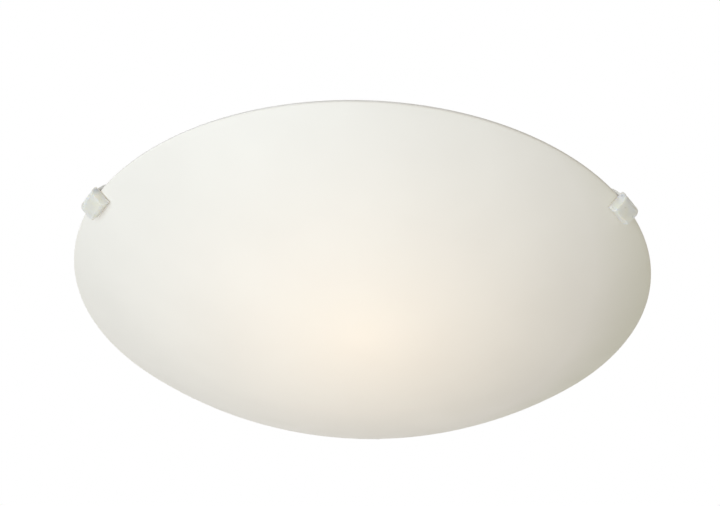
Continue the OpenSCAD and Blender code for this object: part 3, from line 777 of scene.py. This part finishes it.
def bend_arm(side, body, finish, level_z, strip_end, inner, tab=0.0):
    """A strip: level in the pan, down past its skirt, then along the edge of the glass."""
    out = ARM_GAP + ARM_T / 2
    slope_cos, slope_sin = math.cos(RIM_SLOPE), math.sin(RIM_SLOPE)
    knee = Vector(
        (
            DISH_R + out * slope_cos - KNEE_UP * slope_sin,
            0,
            -RIM_DROP + out * slope_sin + KNEE_UP * slope_cos,
        )
    )
    corner = Vector((BEND_OUT, 0, level_z))
    fall = math.atan2(corner.z - knee.z, knee.x - corner.x)
    down = Vector((math.cos(fall), 0, -math.sin(fall)))
    first_back = BEND_R * math.tan(fall / 2)
    knee_back = KNEE_R * math.tan((DROP_ANGLE - fall) / 2)
    clear_bench()
    if tab:
        turn_x = inner + ARM_T / 2 + TAB_BEND
        bpy.ops.mesh.primitive_cube_add(
            size=1,
            location=(inner + ARM_T / 2, 0, level_z - TAB_BEND - tab / 2),
            scale=(ARM_T, ARM_W, tab),
        )
        arm = new_piece(f"strip_{side}")
        settle(arm)
        open_faces(arm, lambda c, n: n.z > 0.9)
        bend_on(arm, (turn_x, 0, level_z - TAB_BEND), math.radians(90), 6)
        run_on((BEND_OUT - first_back - turn_x, 0, 0))
    else:
        reach = BEND_OUT - first_back - inner
        bpy.ops.mesh.primitive_cube_add(
            size=1, location=(inner + reach / 2, 0, level_z), scale=(reach, ARM_W, ARM_T)
        )
        arm = new_piece(f"strip_{side}")
        settle(arm)
        open_faces(arm, lambda c, n: n.x > 0.9)
    bend_on(arm, corner + Vector((-first_back, 0, -BEND_R)), fall, 12)
    run_on(down * ((knee - corner).length - first_back - knee_back))
    bend_on(
        arm,
        knee - knee_back * down - KNEE_R * Vector((math.sin(fall), 0, math.cos(fall))),
        DROP_ANGLE - fall,
        4,
    )
    along_glass = Vector((math.cos(DROP_ANGLE), 0, -math.sin(DROP_ANGLE)))
    run_on(along_glass * (KNEE_UP + strip_end - knee_back))
    bpy.ops.mesh.select_all(action="SELECT")
    bpy.ops.mesh.normals_make_consistent(inside=False)
    close(arm)
    soften(arm, 0.16 * MM, 2, 40)
    settle(arm, turned(HOOK_TURNS[side]))
    smooth_flats(arm, 30)
    return seat(arm, body, finish, "arm_enamel", f"{side}_arm")


bend_arm("left", FIXTURE, arm_white, STRIP_LEVEL, STRIP_TIP, STRIP_START)
bend_arm("right", FIXTURE, arm_white, STRIP_LEVEL, STRIP_TIP, STRIP_START)
bend_arm("release", SLIDE, arm_white, STRIP_LEVEL - FREE_FIT, RELEASE_TIP, TAB_AT, TAB_H)


# Rivets and screws

FLOOR_TOP = -2.2 * MM
GUIDE_T = 1 * MM
BRACKET_T = 1.2 * MM
ARM_RIVETS_OUT = (38 * MM, 50 * MM)
EAR_RIVET_OUT = 51.5 * MM
EAR_RIVET = 10.3 * MM
BRACKET_RIVET_OUT = HOLDER_END - 16 * MM
BRACKET_HALF_PITCH = 8 * MM


def form_rivet(sheet):
    """A domed rivet through the pan and one sheet, with its tail rolled over like an eyelet."""
    foot = PAN_FLOOR - sheet
    up = [(0.06, 1.3), (0.9, 1.26), (1.7, 1.08), (2.3, 0.74), (2.62, 0.34), (2.7, 0.08), (2.66, 0)]
    rings = [(r * MM, FLOOR_TOP + h * MM) for r, h in up]
    rings += [(1.5 * MM, FLOOR_TOP), (1.5 * MM, foot)]
    tail = [(2.5, 0), (2.68, -0.25), (2.6, -0.62), (2.2, -1.0), (1.7, -1.25)]
    tail += [(1.2, -1.3), (0.95, -1.1), (0.85, -0.6), (0.8, 0.4), (0.06, 0.5)]
    rings += [(r * MM, foot + h * MM) for r, h in tail]
    rivet = throw("rivet_pattern", rings, 40)
    smooth(rivet, 40)
    return rivet


def placed(azimuth, out, across=0.0):
    """A place in the pan, out from the middle at an azimuth."""
    return turned(azimuth) @ Matrix.Translation((out, across, 0))


def set_rivets(node, sheet, matrices):
    rivets = set_out(form_rivet(sheet), f"{node}_set", matrices)
    return seat(rivets, FIXTURE, rivet_zinc, "rivet_steel", node)


set_rivets(
    "arm_rivets",
    ARM_T,
    [placed(HOOK_TURNS[side], out) for side in ("left", "right") for out in ARM_RIVETS_OUT],
)
set_rivets(
    "guide_rivets",
    GUIDE_T,
    [placed(HOOK_TURNS["release"], EAR_RIVET_OUT, way * EAR_RIVET) for way in (-1, 1)],
)
set_rivets(
    "bracket_rivets",
    BRACKET_T,
    [placed(LAMP_AZ, BRACKET_RIVET_OUT, way * BRACKET_HALF_PITCH) for way in (-1, 1)],
)


def turn_screw(name, head_r, head_h, shank_r, shank_l, slot_w, slot_h, pitch):
    """A slotted screw, head down: its shank stands on z = 0 and carries a rolled thread."""
    rings = [
        (0.06 * MM, -head_h),
        (head_r * 0.55, -head_h),
        (head_r * 0.82, -head_h * 0.93),
        (head_r * 0.96, -head_h * 0.72),
        (head_r, -head_h * 0.42),
        (head_r, -0.12 * MM),
        (head_r - 0.12 * MM, 0),
        (shank_r, 0),
    ]
    turns = int((shank_l - 0.6 * MM) / pitch)
    for k in range(turns):
        rings += [
            (shank_r, (k + 0.25) * pitch),
            (shank_r - 0.16 * MM, (k + 0.5) * pitch),
            (shank_r - 0.16 * MM, (k + 0.6) * pitch),
            (shank_r, (k + 0.9) * pitch),
        ]
    rings += [(shank_r, shank_l - 0.35 * MM), (shank_r - 0.35 * MM, shank_l), (0.06 * MM, shank_l)]
    screw = throw(name, rings, 36)
    cut_away(
        screw,
        block_cutter(
            (-2 * head_r, -slot_w / 2, -head_h - 1 * MM), (2 * head_r, slot_w / 2, -head_h + slot_h)
        ),
    )
    smooth(screw, 30)
    return screw


def set_screws(node, screw, matrices):
    screws = set_out(screw, f"{node}_set", matrices)
    return seat(screws, FIXTURE, screw_zinc, "screw_steel", node)


BLOCK_Y = -40 * MM
BLOCK_H = 12 * MM
POLE_PITCH = 10 * MM
POLE_Z = PAN_FLOOR - BLOCK_H / 2
SLEEVE_R = 2.6 * MM
PINCH_SIDE = 4 * MM
PINCH_SEAT = POLE_Z - SLEEVE_R - 0.6 * MM
EARTH_AT = Vector((26, -42, 0)) * MM
TAG_T = 0.8 * MM
# head radius and height, shank radius and length, slot width and depth, pitch
PINCH_SCREW = [x * MM for x in (1.9, 2.2, 1.2, 1.6, 0.6, 0.7, 0.5)]
BLOCK_SCREW = [x * MM for x in (2.8, 2, 1.5, 9.8, 0.8, 0.8, 0.7)]
HOLDER_SCREW = [x * MM for x in (2.8, 2, 1.5, 7.2, 0.8, 0.8, 0.7)]
EARTH_SCREW = [x * MM for x in (3.6, 2.4, 2, 2.8, 1, 1.1, 0.5)]

set_screws(
    "terminal_screws",
    turn_screw("terminal_screw_pattern", *PINCH_SCREW),
    [
        Matrix.Translation((pole * POLE_PITCH, BLOCK_Y + way * PINCH_SIDE, PINCH_SEAT))
        @ turned(24 * pole + 31 * way)
        for pole in (-1, 0, 1)
        for way in (-1, 1)
    ],
)
HEAD_SEAT = PAN_FLOOR - BLOCK_H + 4 * MM
set_screws(
    "block_screws",
    turn_screw("block_screw_pattern", *BLOCK_SCREW),
    [
        Matrix.Translation((way * POLE_PITCH / 2, BLOCK_Y, HEAD_SEAT)) @ turned(35 * way + 12)
        for way in (-1, 1)
    ],
)
HOLDER_SCREW_SEAT = HOLDER_END + BRACKET_T
set_screws(
    "holder_screws",
    turn_screw("holder_screw_pattern", *HOLDER_SCREW),
    [
        on_lamp_axis()
        @ Matrix.Translation((way * BRACKET_HALF_PITCH, 0, HOLDER_SCREW_SEAT))
        @ Matrix.Rotation(math.pi, 4, "X")
        @ turned(20 * way)
        for way in (-1, 1)
    ],
)
set_screws(
    "earth_screw",
    turn_screw("earth_screw_pattern", *EARTH_SCREW),
    [Matrix.Translation(EARTH_AT + Vector((0, 0, PAN_FLOOR - TAG_T))) @ turned(15)],
)


# Pressed, moulded and cut pieces of the frame, with their edges eased


def ease(node, body, finish, slot, width, segments=2):
    return seat(eased_copy(node, f"{node}_eased", width, segments), body, finish, slot, node)


ease("lampholder_bracket", FIXTURE, zinc, "bracket_steel", 0.18 * MM)
ease("release_guide", FIXTURE, zinc, "bracket_steel", 0.15 * MM)
ease("terminal_block", FIXTURE, block_white, "block_plastic", 0.3 * MM)
ease("earth_tag", FIXTURE, brass, "contact_brass", 0.12 * MM)


# Grommet, rod and spring


def mould_grommet():
    low, high = PAN_FLOOR - 1.5 * MM, FLOOR_TOP + 1.5 * MM
    profile = [
        (3.5, low + 0.5 * MM),
        (3.65, low + 0.15 * MM),
        (4.0, low),
        (7.0, low),
        (7.35, low + 0.12 * MM),
        (7.5, low + 0.5 * MM),
        (7.5, PAN_FLOOR - 0.3 * MM),
        (7.3, PAN_FLOOR),
        (5.5, PAN_FLOOR),
        (5.5, FLOOR_TOP),
        (7.3, FLOOR_TOP),
        (7.5, FLOOR_TOP + 0.3 * MM),
        (7.45, high - 0.45 * MM),
        (7.2, high - 0.1 * MM),
        (6.8, high),
        (4.1, high),
        (3.7, high - 0.15 * MM),
        (3.5, high - 0.5 * MM),
        (3.5, low + 0.5 * MM),
    ]
    bush = throw("grommet_bush", [(r * MM, z) for r, z in profile], 72, hollow=True)
    smooth(bush, 50)
    return seat(bush, FIXTURE, rubber, "grommet_rubber", "cable_grommet")


mould_grommet()

SPRING_OD = 7 * MM
SPRING_WIRE = 0.8 * MM
SPRING_TURNS = 9
GUIDE_FROM = 46 * MM
SPRING_Z = PAN_FLOOR - FREE_FIT - ARM_T - FREE_FIT - GUIDE_T - SPRING_OD / 2
SPRING_FROM = TAB_AT + ARM_T + FREE_FIT
SPRING_TO = GUIDE_FROM - FREE_FIT


def turn_rod():
    """The headed rod through the tab of the release strip."""
    rod_r = 1.3 * MM
    far = GUIDE_FROM + 4 * MM
    rings = [
        (0.06 * MM, TAB_AT - 1.2 * MM),
        (1.2 * MM, TAB_AT - 1.16 * MM),
        (1.9 * MM, TAB_AT - 0.95 * MM),
        (2.25 * MM, TAB_AT - 0.5 * MM),
        (2.3 * MM, TAB_AT - 0.1 * MM),
        (2.25 * MM, TAB_AT),
        (rod_r, TAB_AT),
        (rod_r, far - 0.5 * MM),
        (rod_r - 0.35 * MM, far),
        (0.06 * MM, far),
    ]
    rod = throw("spring_rod", rings, 40)
    settle(rod, Matrix.Translation((0, 0, SPRING_Z)) @ Matrix.Rotation(math.radians(-90), 4, "X"))
    smooth(rod, 35)
    return seat(rod, SLIDE, zinc, "screw_steel", "release_rod")


turn_rod()


def round_wire(name, points, radius, sides):
    """A wire of even thickness through the points, made a mesh with closed ends."""
    clear_bench()
    line = bpy.data.curves.new(name, "CURVE")
    line.dimensions = "3D"
    line.bevel_depth = radius
    line.bevel_resolution = max(0, (sides - 4) // 2)
    line.use_fill_caps = True
    run = line.splines.new("POLY")
    run.points.add(len(points) - 1)
    for spot, place in zip(run.points, points):
        spot.co = (*place, 1)
    wire = bpy.data.objects.new(name, line)
    bpy.context.scene.collection.objects.link(wire)
    take(wire)
    bpy.ops.object.convert(target="MESH")
    wire = bpy.context.object
    wire.name = name
    wire.data.name = name
    open_all(wire)
    bpy.ops.mesh.remove_doubles(threshold=1e-6)
    bpy.ops.mesh.select_all(action="SELECT")
    bpy.ops.mesh.normals_make_consistent(inside=False)
    close(wire)
    settle(wire)
    return wire


def wind_spring():
    """Nine turns whose end turns close up, as on a ground compression spring."""
    middle_r = (SPRING_OD - SPRING_WIRE) / 2
    start = SPRING_FROM + SPRING_WIRE / 2
    span = SPRING_TO - SPRING_FROM - SPRING_WIRE
    flat = SPRING_WIRE
    points = []
    per_turn = 28
    for i in range(SPRING_TURNS * per_turn + 1):
        turn = i / per_turn
        end_turns = min(turn, 1) + max(0, turn - (SPRING_TURNS - 1))
        open_turns = turn - end_turns
        along = end_turns * flat + open_turns * (span - 2 * flat) / (SPRING_TURNS - 2)
        angle = 2 * math.pi * turn
        points.append(
            (
                middle_r * math.cos(angle),
                start + along,
                SPRING_Z + middle_r * math.sin(angle),
            )
        )
    spring = round_wire("release_spring_coil", points, SPRING_WIRE / 2, 10)
    smooth(spring, 60)
    seat(spring, FIXTURE, spring_wire, "spring_steel", "release_spring")
    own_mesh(spring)
    return spring


wind_spring()


# Bulb


def blow_globe():
    """The opal globe, drawn in smoothly to its neck; hollow, and sealed inside the cap."""
    wall = 0.9 * MM
    meet_at = 14 * MM
    bend_at = 11.5 * MM
    neck_from = 16.5 * MM
    open_end = 20 * MM
    rise = meet_at - GLOBE_AT
    meet = math.acos(GLOBE_R / math.hypot(rise, NECK_R)) + math.atan2(NECK_R, rise)
    rings = []
    steps = 40
    for k in range(steps + 1):
        angle = math.radians(0.3) + (math.pi - meet - math.radians(0.3)) * k / steps
        rings.append((GLOBE_R * math.sin(angle), GLOBE_AT - GLOBE_R * math.cos(angle)))
    start_r, start_z = rings[-1]
    for k in range(1, 15):
        f = k / 14
        radius = (1 - f) ** 2 * start_r + 2 * f * (1 - f) * NECK_R + f * f * NECK_R
        height = (1 - f) ** 2 * start_z + 2 * f * (1 - f) * bend_at + f * f * neck_from
        rings.append((radius, height))
    rings.append((NECK_R, open_end))
    globe = throw("bulb_opal_globe", rings, 96)
    open_faces(globe, lambda c, n: c.z > open_end - 1e-6)
    bpy.ops.mesh.delete(type="ONLY_FACE")
    close(globe)
    finish_with(globe, "SOLIDIFY", thickness=wall, offset=-1, use_rim=True)
    settle(globe, on_lamp_axis())
    smooth(globe, 50)
    return seat(globe, FIXTURE, bulb_glass, "bulb_opal_glass", "bulb_globe")


blow_globe()


def roll_cap():
    """A screw cap: a rolled round thread on a thin shell, drawn in to the insulator."""
    pitch = 3.6 * MM
    depth = 0.55 * MM
    thread_from, thread_to = CAP_FROM + 2 * MM, CAP_END - 4 * MM
    rings = [(CAP_R - 0.9 * MM, CAP_FROM + 0.3 * MM), (CAP_R - 0.55 * MM, CAP_FROM)]
    count = 60
    low = CAP_FROM + 0.5 * MM
    high = CAP_END - 3 * MM
    rings += [(CAP_R, low + (high - low) * k / count) for k in range(count + 1)]
    rings += [
        (CAP_R - 0.8 * MM, CAP_END - 2.2 * MM),
        (11.2 * MM, CAP_END - 1.2 * MM),
        (9.6 * MM, CAP_END - 0.5 * MM),
        (8.2 * MM, CAP_END - 0.05 * MM),
        (7.6 * MM, CAP_END - 0.35 * MM),
    ]
    cap = throw("screw_cap_shell", rings, 96)
    open_faces(cap, lambda c, n: math.hypot(c.x, c.y) < 1 * MM)
    bpy.ops.mesh.delete(type="ONLY_FACE")
    close(cap)
    for point in cap.data.vertices:
        height = point.co.z
        reach = math.hypot(point.co.x, point.co.y)
        if reach < CAP_R - 0.01 * MM or not low - 1e-6 <= height <= high + 1e-6:
            continue
        angle = math.atan2(point.co.y, point.co.x)
        wave = 0.5 - 0.5 * math.cos(2 * math.pi * (height / pitch - angle / (2 * math.pi)))
        ease_in = min(1, max(0, (height - thread_from) / (1.5 * MM)))
        ease_out = min(1, max(0, (thread_to - height) / (1.5 * MM)))
        drawn = 1 - depth * wave * ease_in * ease_out / reach
        point.co.x *= drawn
        point.co.y *= drawn
    finish_with(cap, "SOLIDIFY", thickness=0.35 * MM, offset=-1, use_rim=True)
    settle(cap, on_lamp_axis())
    smooth(cap, 50)
    return seat(cap, FIXTURE, cap_metal, "cap_aluminium", "bulb_cap")


roll_cap()


def on_axis(name, profile, finish, slot, node, sides=72, angle=40):
    piece = throw(name, [(r * MM, z * MM) for r, z in profile], sides)
    settle(piece, on_lamp_axis())
    smooth(piece, angle)
    return seat(piece, FIXTURE, finish, slot, node)


on_axis(
    "cap_insulator_disc",
    [(7.7, 40.0), (7.6, 40.5), (7.1, 41.1), (6.3, 41.7), (5.6, 42.2), (5.1, 42.6)],
    insulator,
    "insulator_glass",
    "bulb_insulator",
)
on_axis(
    "cap_solder_point",
    [
        (4.6, 42.6), (4.55, 42.9), (4.25, 43.35), (3.6, 43.7),
        (2.5, 43.92), (1.2, 44.0), (0.05, 44.0),
    ],
    solder,
    "contact_solder",
    "bulb_contact",
)


# Lampholder


def mould_lampholder():
    """A fluted barrel with a rolled mouth, then a block with two flats and the wire entries."""
    flutes = 20
    flute_half = math.radians(3)
    block_from = 49.5 * MM
    past = 20 * MM
    flute_from, flute_to = 19.6 * MM, 43.6 * MM
    profile = [
        (0.06, 47.0),
        (14.1, 47.0),
        (14.1, 18.0),
        (14.6, 17.6),
        (14.6, 16.2),
        (14.9, 15.7),
        (15.6, 15.5),
        (17.6, 15.5),
        (18.4, 15.65),
        (18.9, 16.1),
        (19.15, 16.8),
        (19.2, 17.6),
        (19.2, 19.6),
        (19.2, 43.6),
        (19.2, 45.4),
        (19.05, 46.1),
        (18.7, 46.8),
        (17.9, 48.4),
        (17.3, 49.3),
        (17.0, 49.5),
        (17.0, 59.2),
        (16.8, 59.8),
        (16.3, 60.0),
        (0.06, 60.0),
    ]
    barrel = throw("lampholder_barrel", [(r * MM, z * MM) for r, z in profile], 120)
    for side in range(flutes):
        middle = 2 * math.pi * side / flutes

        def in_flute(c, n):
            turn = math.atan2(c.y, c.x) - middle
            turn = abs((turn + math.pi) % (2 * math.pi) - math.pi)
            outside = math.hypot(c.x, c.y) > HOLDER_R - 0.1 * MM
            return outside and flute_from < c.z < flute_to and turn < flute_half

        open_faces(barrel, in_flute)
        bpy.ops.mesh.inset(thickness=0.45 * MM, depth=-0.6 * MM, use_even_offset=True)
        close(barrel)
    for way in (-1, 1):
        near, far = sorted((way * HOLDER_FLAT, way * past))
        cut_away(
            barrel,
            block_cutter((-past, near, block_from), (past, far, HOLDER_END + 2 * MM)),
        )
    for along in (NEUTRAL_ENTRY, LIVE_ENTRY):
        cut_away(
            barrel,
            drill(1.4 * MM, (0, -HOLDER_FLAT - 1 * MM, along), (0, -HOLDER_FLAT + 4 * MM, along)),
        )
    soften(barrel, 0.14 * MM, 2, 40)
    settle(barrel, on_lamp_axis())
    smooth_flats(barrel, 40)
    return seat(barrel, FIXTURE, holder_white, "holder_plastic", "lampholder_body")


mould_lampholder()


# Wires: the routes of the frame, drawn smooth and round

BLOCK_HALF_D = 8 * MM
SLEEVE_HALF_L = 6.5 * MM
POLES_OUT = BLOCK_Y - BLOCK_HALF_D - 1 * MM
POLES_END = BLOCK_Y - SLEEVE_HALF_L + 2 * MM
WIRE_R = 1.1 * MM


def lamp_spot(along, across):
    azimuth = math.radians(LAMP_AZ)
    return Vector(
        (
            along * math.cos(azimuth) - across * math.sin(azimuth),
            along * math.sin(azimuth) + across * math.cos(azimuth),
            -LAMP_DROP,
        )
    )


def tag_spot(along):
    turn = math.radians(-118)
    return Vector(
        (
            EARTH_AT.x + along * math.cos(turn),
            EARTH_AT.y + along * math.sin(turn),
            PAN_FLOOR - WIRE_R - TAG_T,
        )
    )


def smooth_route(points, steps=9):
    """Runs a smooth line through the points."""
    run = []
    last = len(points) - 1
    for i in range(last):
        a, b = points[max(i - 1, 0)], points[i]
        c, d = points[i + 1], points[min(i + 2, last)]
        for k in range(steps):
            f = k / steps
            run.append(
                0.5
                * (
                    2 * b
                    + (c - a) * f
                    + (2 * a - 5 * b + 4 * c - d) * f * f
                    + (3 * b - a - 3 * c + d) * f**3
                )
            )
    return run + [points[-1]]


def pole_start(pole):
    return [
        Vector((pole * POLE_PITCH, POLES_END, POLE_Z)),
        Vector((pole * POLE_PITCH, POLES_OUT, POLE_Z)),
    ]


def into_holder(along):
    return [
        lamp_spot(along, -HOLDER_FLAT - 5 * MM),
        lamp_spot(along, -HOLDER_FLAT - 1 * MM),
        lamp_spot(along, -HOLDER_FLAT + 3 * MM),
    ]


def in_mm(*spots):
    return [Vector(spot) * MM for spot in spots]


def lay_wire(node, route, finish, slot):
    wire = round_wire(f"{node}_sleeve", smooth_route(route), WIRE_R, 16)
    smooth(wire, 60)
    return seat(wire, FIXTURE, finish, slot, node)


lay_wire(
    "live_wire",
    pole_start(-1)
    + in_mm(
        (-10, -53, -9.5), (-5, -61, -13), (10, -65, -14), (31, -61, -13), (50, -49, -12),
        (63, -32, -12), (70, -14, -15), (70, -1, -24), (66, 3, -33),
    )
    + into_holder(LIVE_ENTRY),
    brown_sleeve,
    "wire_brown",
)
lay_wire(
    "neutral_wire",
    pole_start(0)
    + in_mm(
        (0, -53, -9.5), (4, -58, -13), (15, -60, -14), (30, -56, -13), (46, -45, -12),
        (57, -30, -12), (64, -14, -15), (64, -4, -24), (60, -1, -33),
    )
    + into_holder(NEUTRAL_ENTRY),
    blue_sleeve,
    "wire_blue",
)


def stripe_wire(wire, around=16, wide=5):
    """Yellow along part of the sleeve, by the faces' places round it."""
    wire.data.materials.append(yellow_stripe)
    for face in wire.data.polygons:
        if (face.index + around // 2) % around < wide:
            face.material_index = 1


earth = lay_wire(
    "earth_wire",
    pole_start(1)
    + in_mm((10, -52, -9), (13, -56, -8.5), (18, -56, -7))
    + [tag_spot(13 * MM), tag_spot(10 * MM), tag_spot(8 * MM)],
    green_sleeve,
    "wire_green",
)
stripe_wire(earth)


# Stage, light and camera


def seen_straight(nodes, links):
    """One for what the camera, a reflection or a clear material sees, none for the light given."""
    path = nodes.new("ShaderNodeLightPath")
    value = path.outputs["Is Camera Ray"]
    for kind in ("Is Glossy Ray", "Is Transmission Ray"):
        either = nodes.new("ShaderNodeMath")
        either.operation = "MAXIMUM"
        links.new(value, either.inputs[0])
        links.new(path.outputs[kind], either.inputs[1])
        value = either.outputs["Value"]
    return value


def lay_floor():
    """Pale paint that is seen as near white, with a little of its own shadow left."""
    clear_bench()
    bpy.ops.mesh.primitive_plane_add(size=12, location=(0, 0, -1.6))
    floor = new_piece("floor")
    settle(floor)
    paint = bpy.data.materials.new("pale_floor")
    paint.use_nodes = True
    nodes, links = paint.node_tree.nodes, paint.node_tree.links
    shader = nodes["Principled BSDF"]
    shader.inputs["Base Color"].default_value = (0.84, 0.85, 0.9, 1)
    shader.inputs["Roughness"].default_value = 0.9
    shader.inputs["Emission Color"].default_value = (1, 1, 1, 1)
    lift = nodes.new("ShaderNodeMath")
    lift.operation = "MULTIPLY"
    lift.inputs[1].default_value = 0.62
    links.new(seen_straight(nodes, links), lift.inputs[0])
    links.new(lift.outputs["Value"], shader.inputs["Emission Strength"])
    floor.data.materials.append(paint)


def light_world():
    """Soft light all round, and plain white where the camera or a reflection sees it."""
    world = bpy.context.scene.world or bpy.data.worlds.new("studio")
    bpy.context.scene.world = world
    world.use_nodes = True
    nodes, links = world.node_tree.nodes, world.node_tree.links
    nodes.clear()
    soft = nodes.new("ShaderNodeBackground")
    soft.inputs["Color"].default_value = (1.0, 0.97, 0.835, 1)
    soft.inputs["Strength"].default_value = 0.475
    white = nodes.new("ShaderNodeBackground")
    white.inputs["Color"].default_value = (1, 1, 1, 1)
    white.inputs["Strength"].default_value = 1.0
    mix = nodes.new("ShaderNodeMixShader")
    output = nodes.new("ShaderNodeOutputWorld")
    links.new(seen_straight(nodes, links), mix.inputs["Fac"])
    links.new(soft.outputs["Background"], mix.inputs[1])
    links.new(white.outputs["Background"], mix.inputs[2])
    links.new(mix.outputs["Shader"], output.inputs["Surface"])


def hang_lamp(name, towards, distance, size, power, colour=(1, 1, 1)):
    """A soft square lamp that looks at the dish from a direction."""
    aim = Vector((0, 0, -0.05))
    lamp = bpy.data.lights.new(name, "AREA")
    lamp.shape = "SQUARE"
    lamp.size = size
    lamp.energy = power
    lamp.color = colour
    holder = bpy.data.objects.new(name, lamp)
    bpy.context.scene.collection.objects.link(holder)
    out = Vector(towards).normalized()
    holder.location = aim + out * distance
    holder.rotation_euler = out.to_track_quat("Z", "Y").to_euler()


def place_camera():
    """The view of the photograph: from below and in front, a little rolled."""
    picture_w = 720
    focal_px = 1955.5
    shift_px = (-1.8, 33.84)
    distance = 0.85
    azimuth = math.radians(-87.5)
    below = math.radians(34.61)
    roll = math.radians(2.06)
    back = Vector(
        (
            math.cos(azimuth) * math.cos(below),
            math.sin(azimuth) * math.cos(below),
            -math.sin(below),
        )
    )
    right = Vector((-math.sin(azimuth), math.cos(azimuth), 0))
    up = back.cross(right)
    across = math.cos(roll) * right + math.sin(roll) * up
    upward = -math.sin(roll) * right + math.cos(roll) * up
    lens = bpy.data.cameras.new("photo_camera")
    lens.sensor_width = 36
    lens.lens = lens.sensor_width * focal_px / picture_w
    lens.shift_x = shift_px[0] / picture_w
    lens.shift_y = shift_px[1] / picture_w
    lens.clip_start = 0.02
    lens.clip_end = 60
    camera = bpy.data.objects.new("photo_camera", lens)
    bpy.context.scene.collection.objects.link(camera)
    turn = Matrix((across, upward, back)).transposed().to_4x4()
    camera.matrix_world = Matrix.Translation(Vector((0, 0, -RIM_DROP)) + distance * back) @ turn
    bpy.context.scene.camera = camera


lay_floor()
light_world()
hang_lamp(
    "key_lamp",
    (-0.44, -0.665, -0.605),
    distance=1.5,
    size=1.1,
    power=13.2,
    colour=(0.87, 0.965, 1.075),
)
hang_lamp("upper_lamp", (-0.5, -0.35, 0.8), distance=2.2, size=1.4, power=16)
place_camera()

bpy.context.scene.view_settings.view_transform = "Standard"
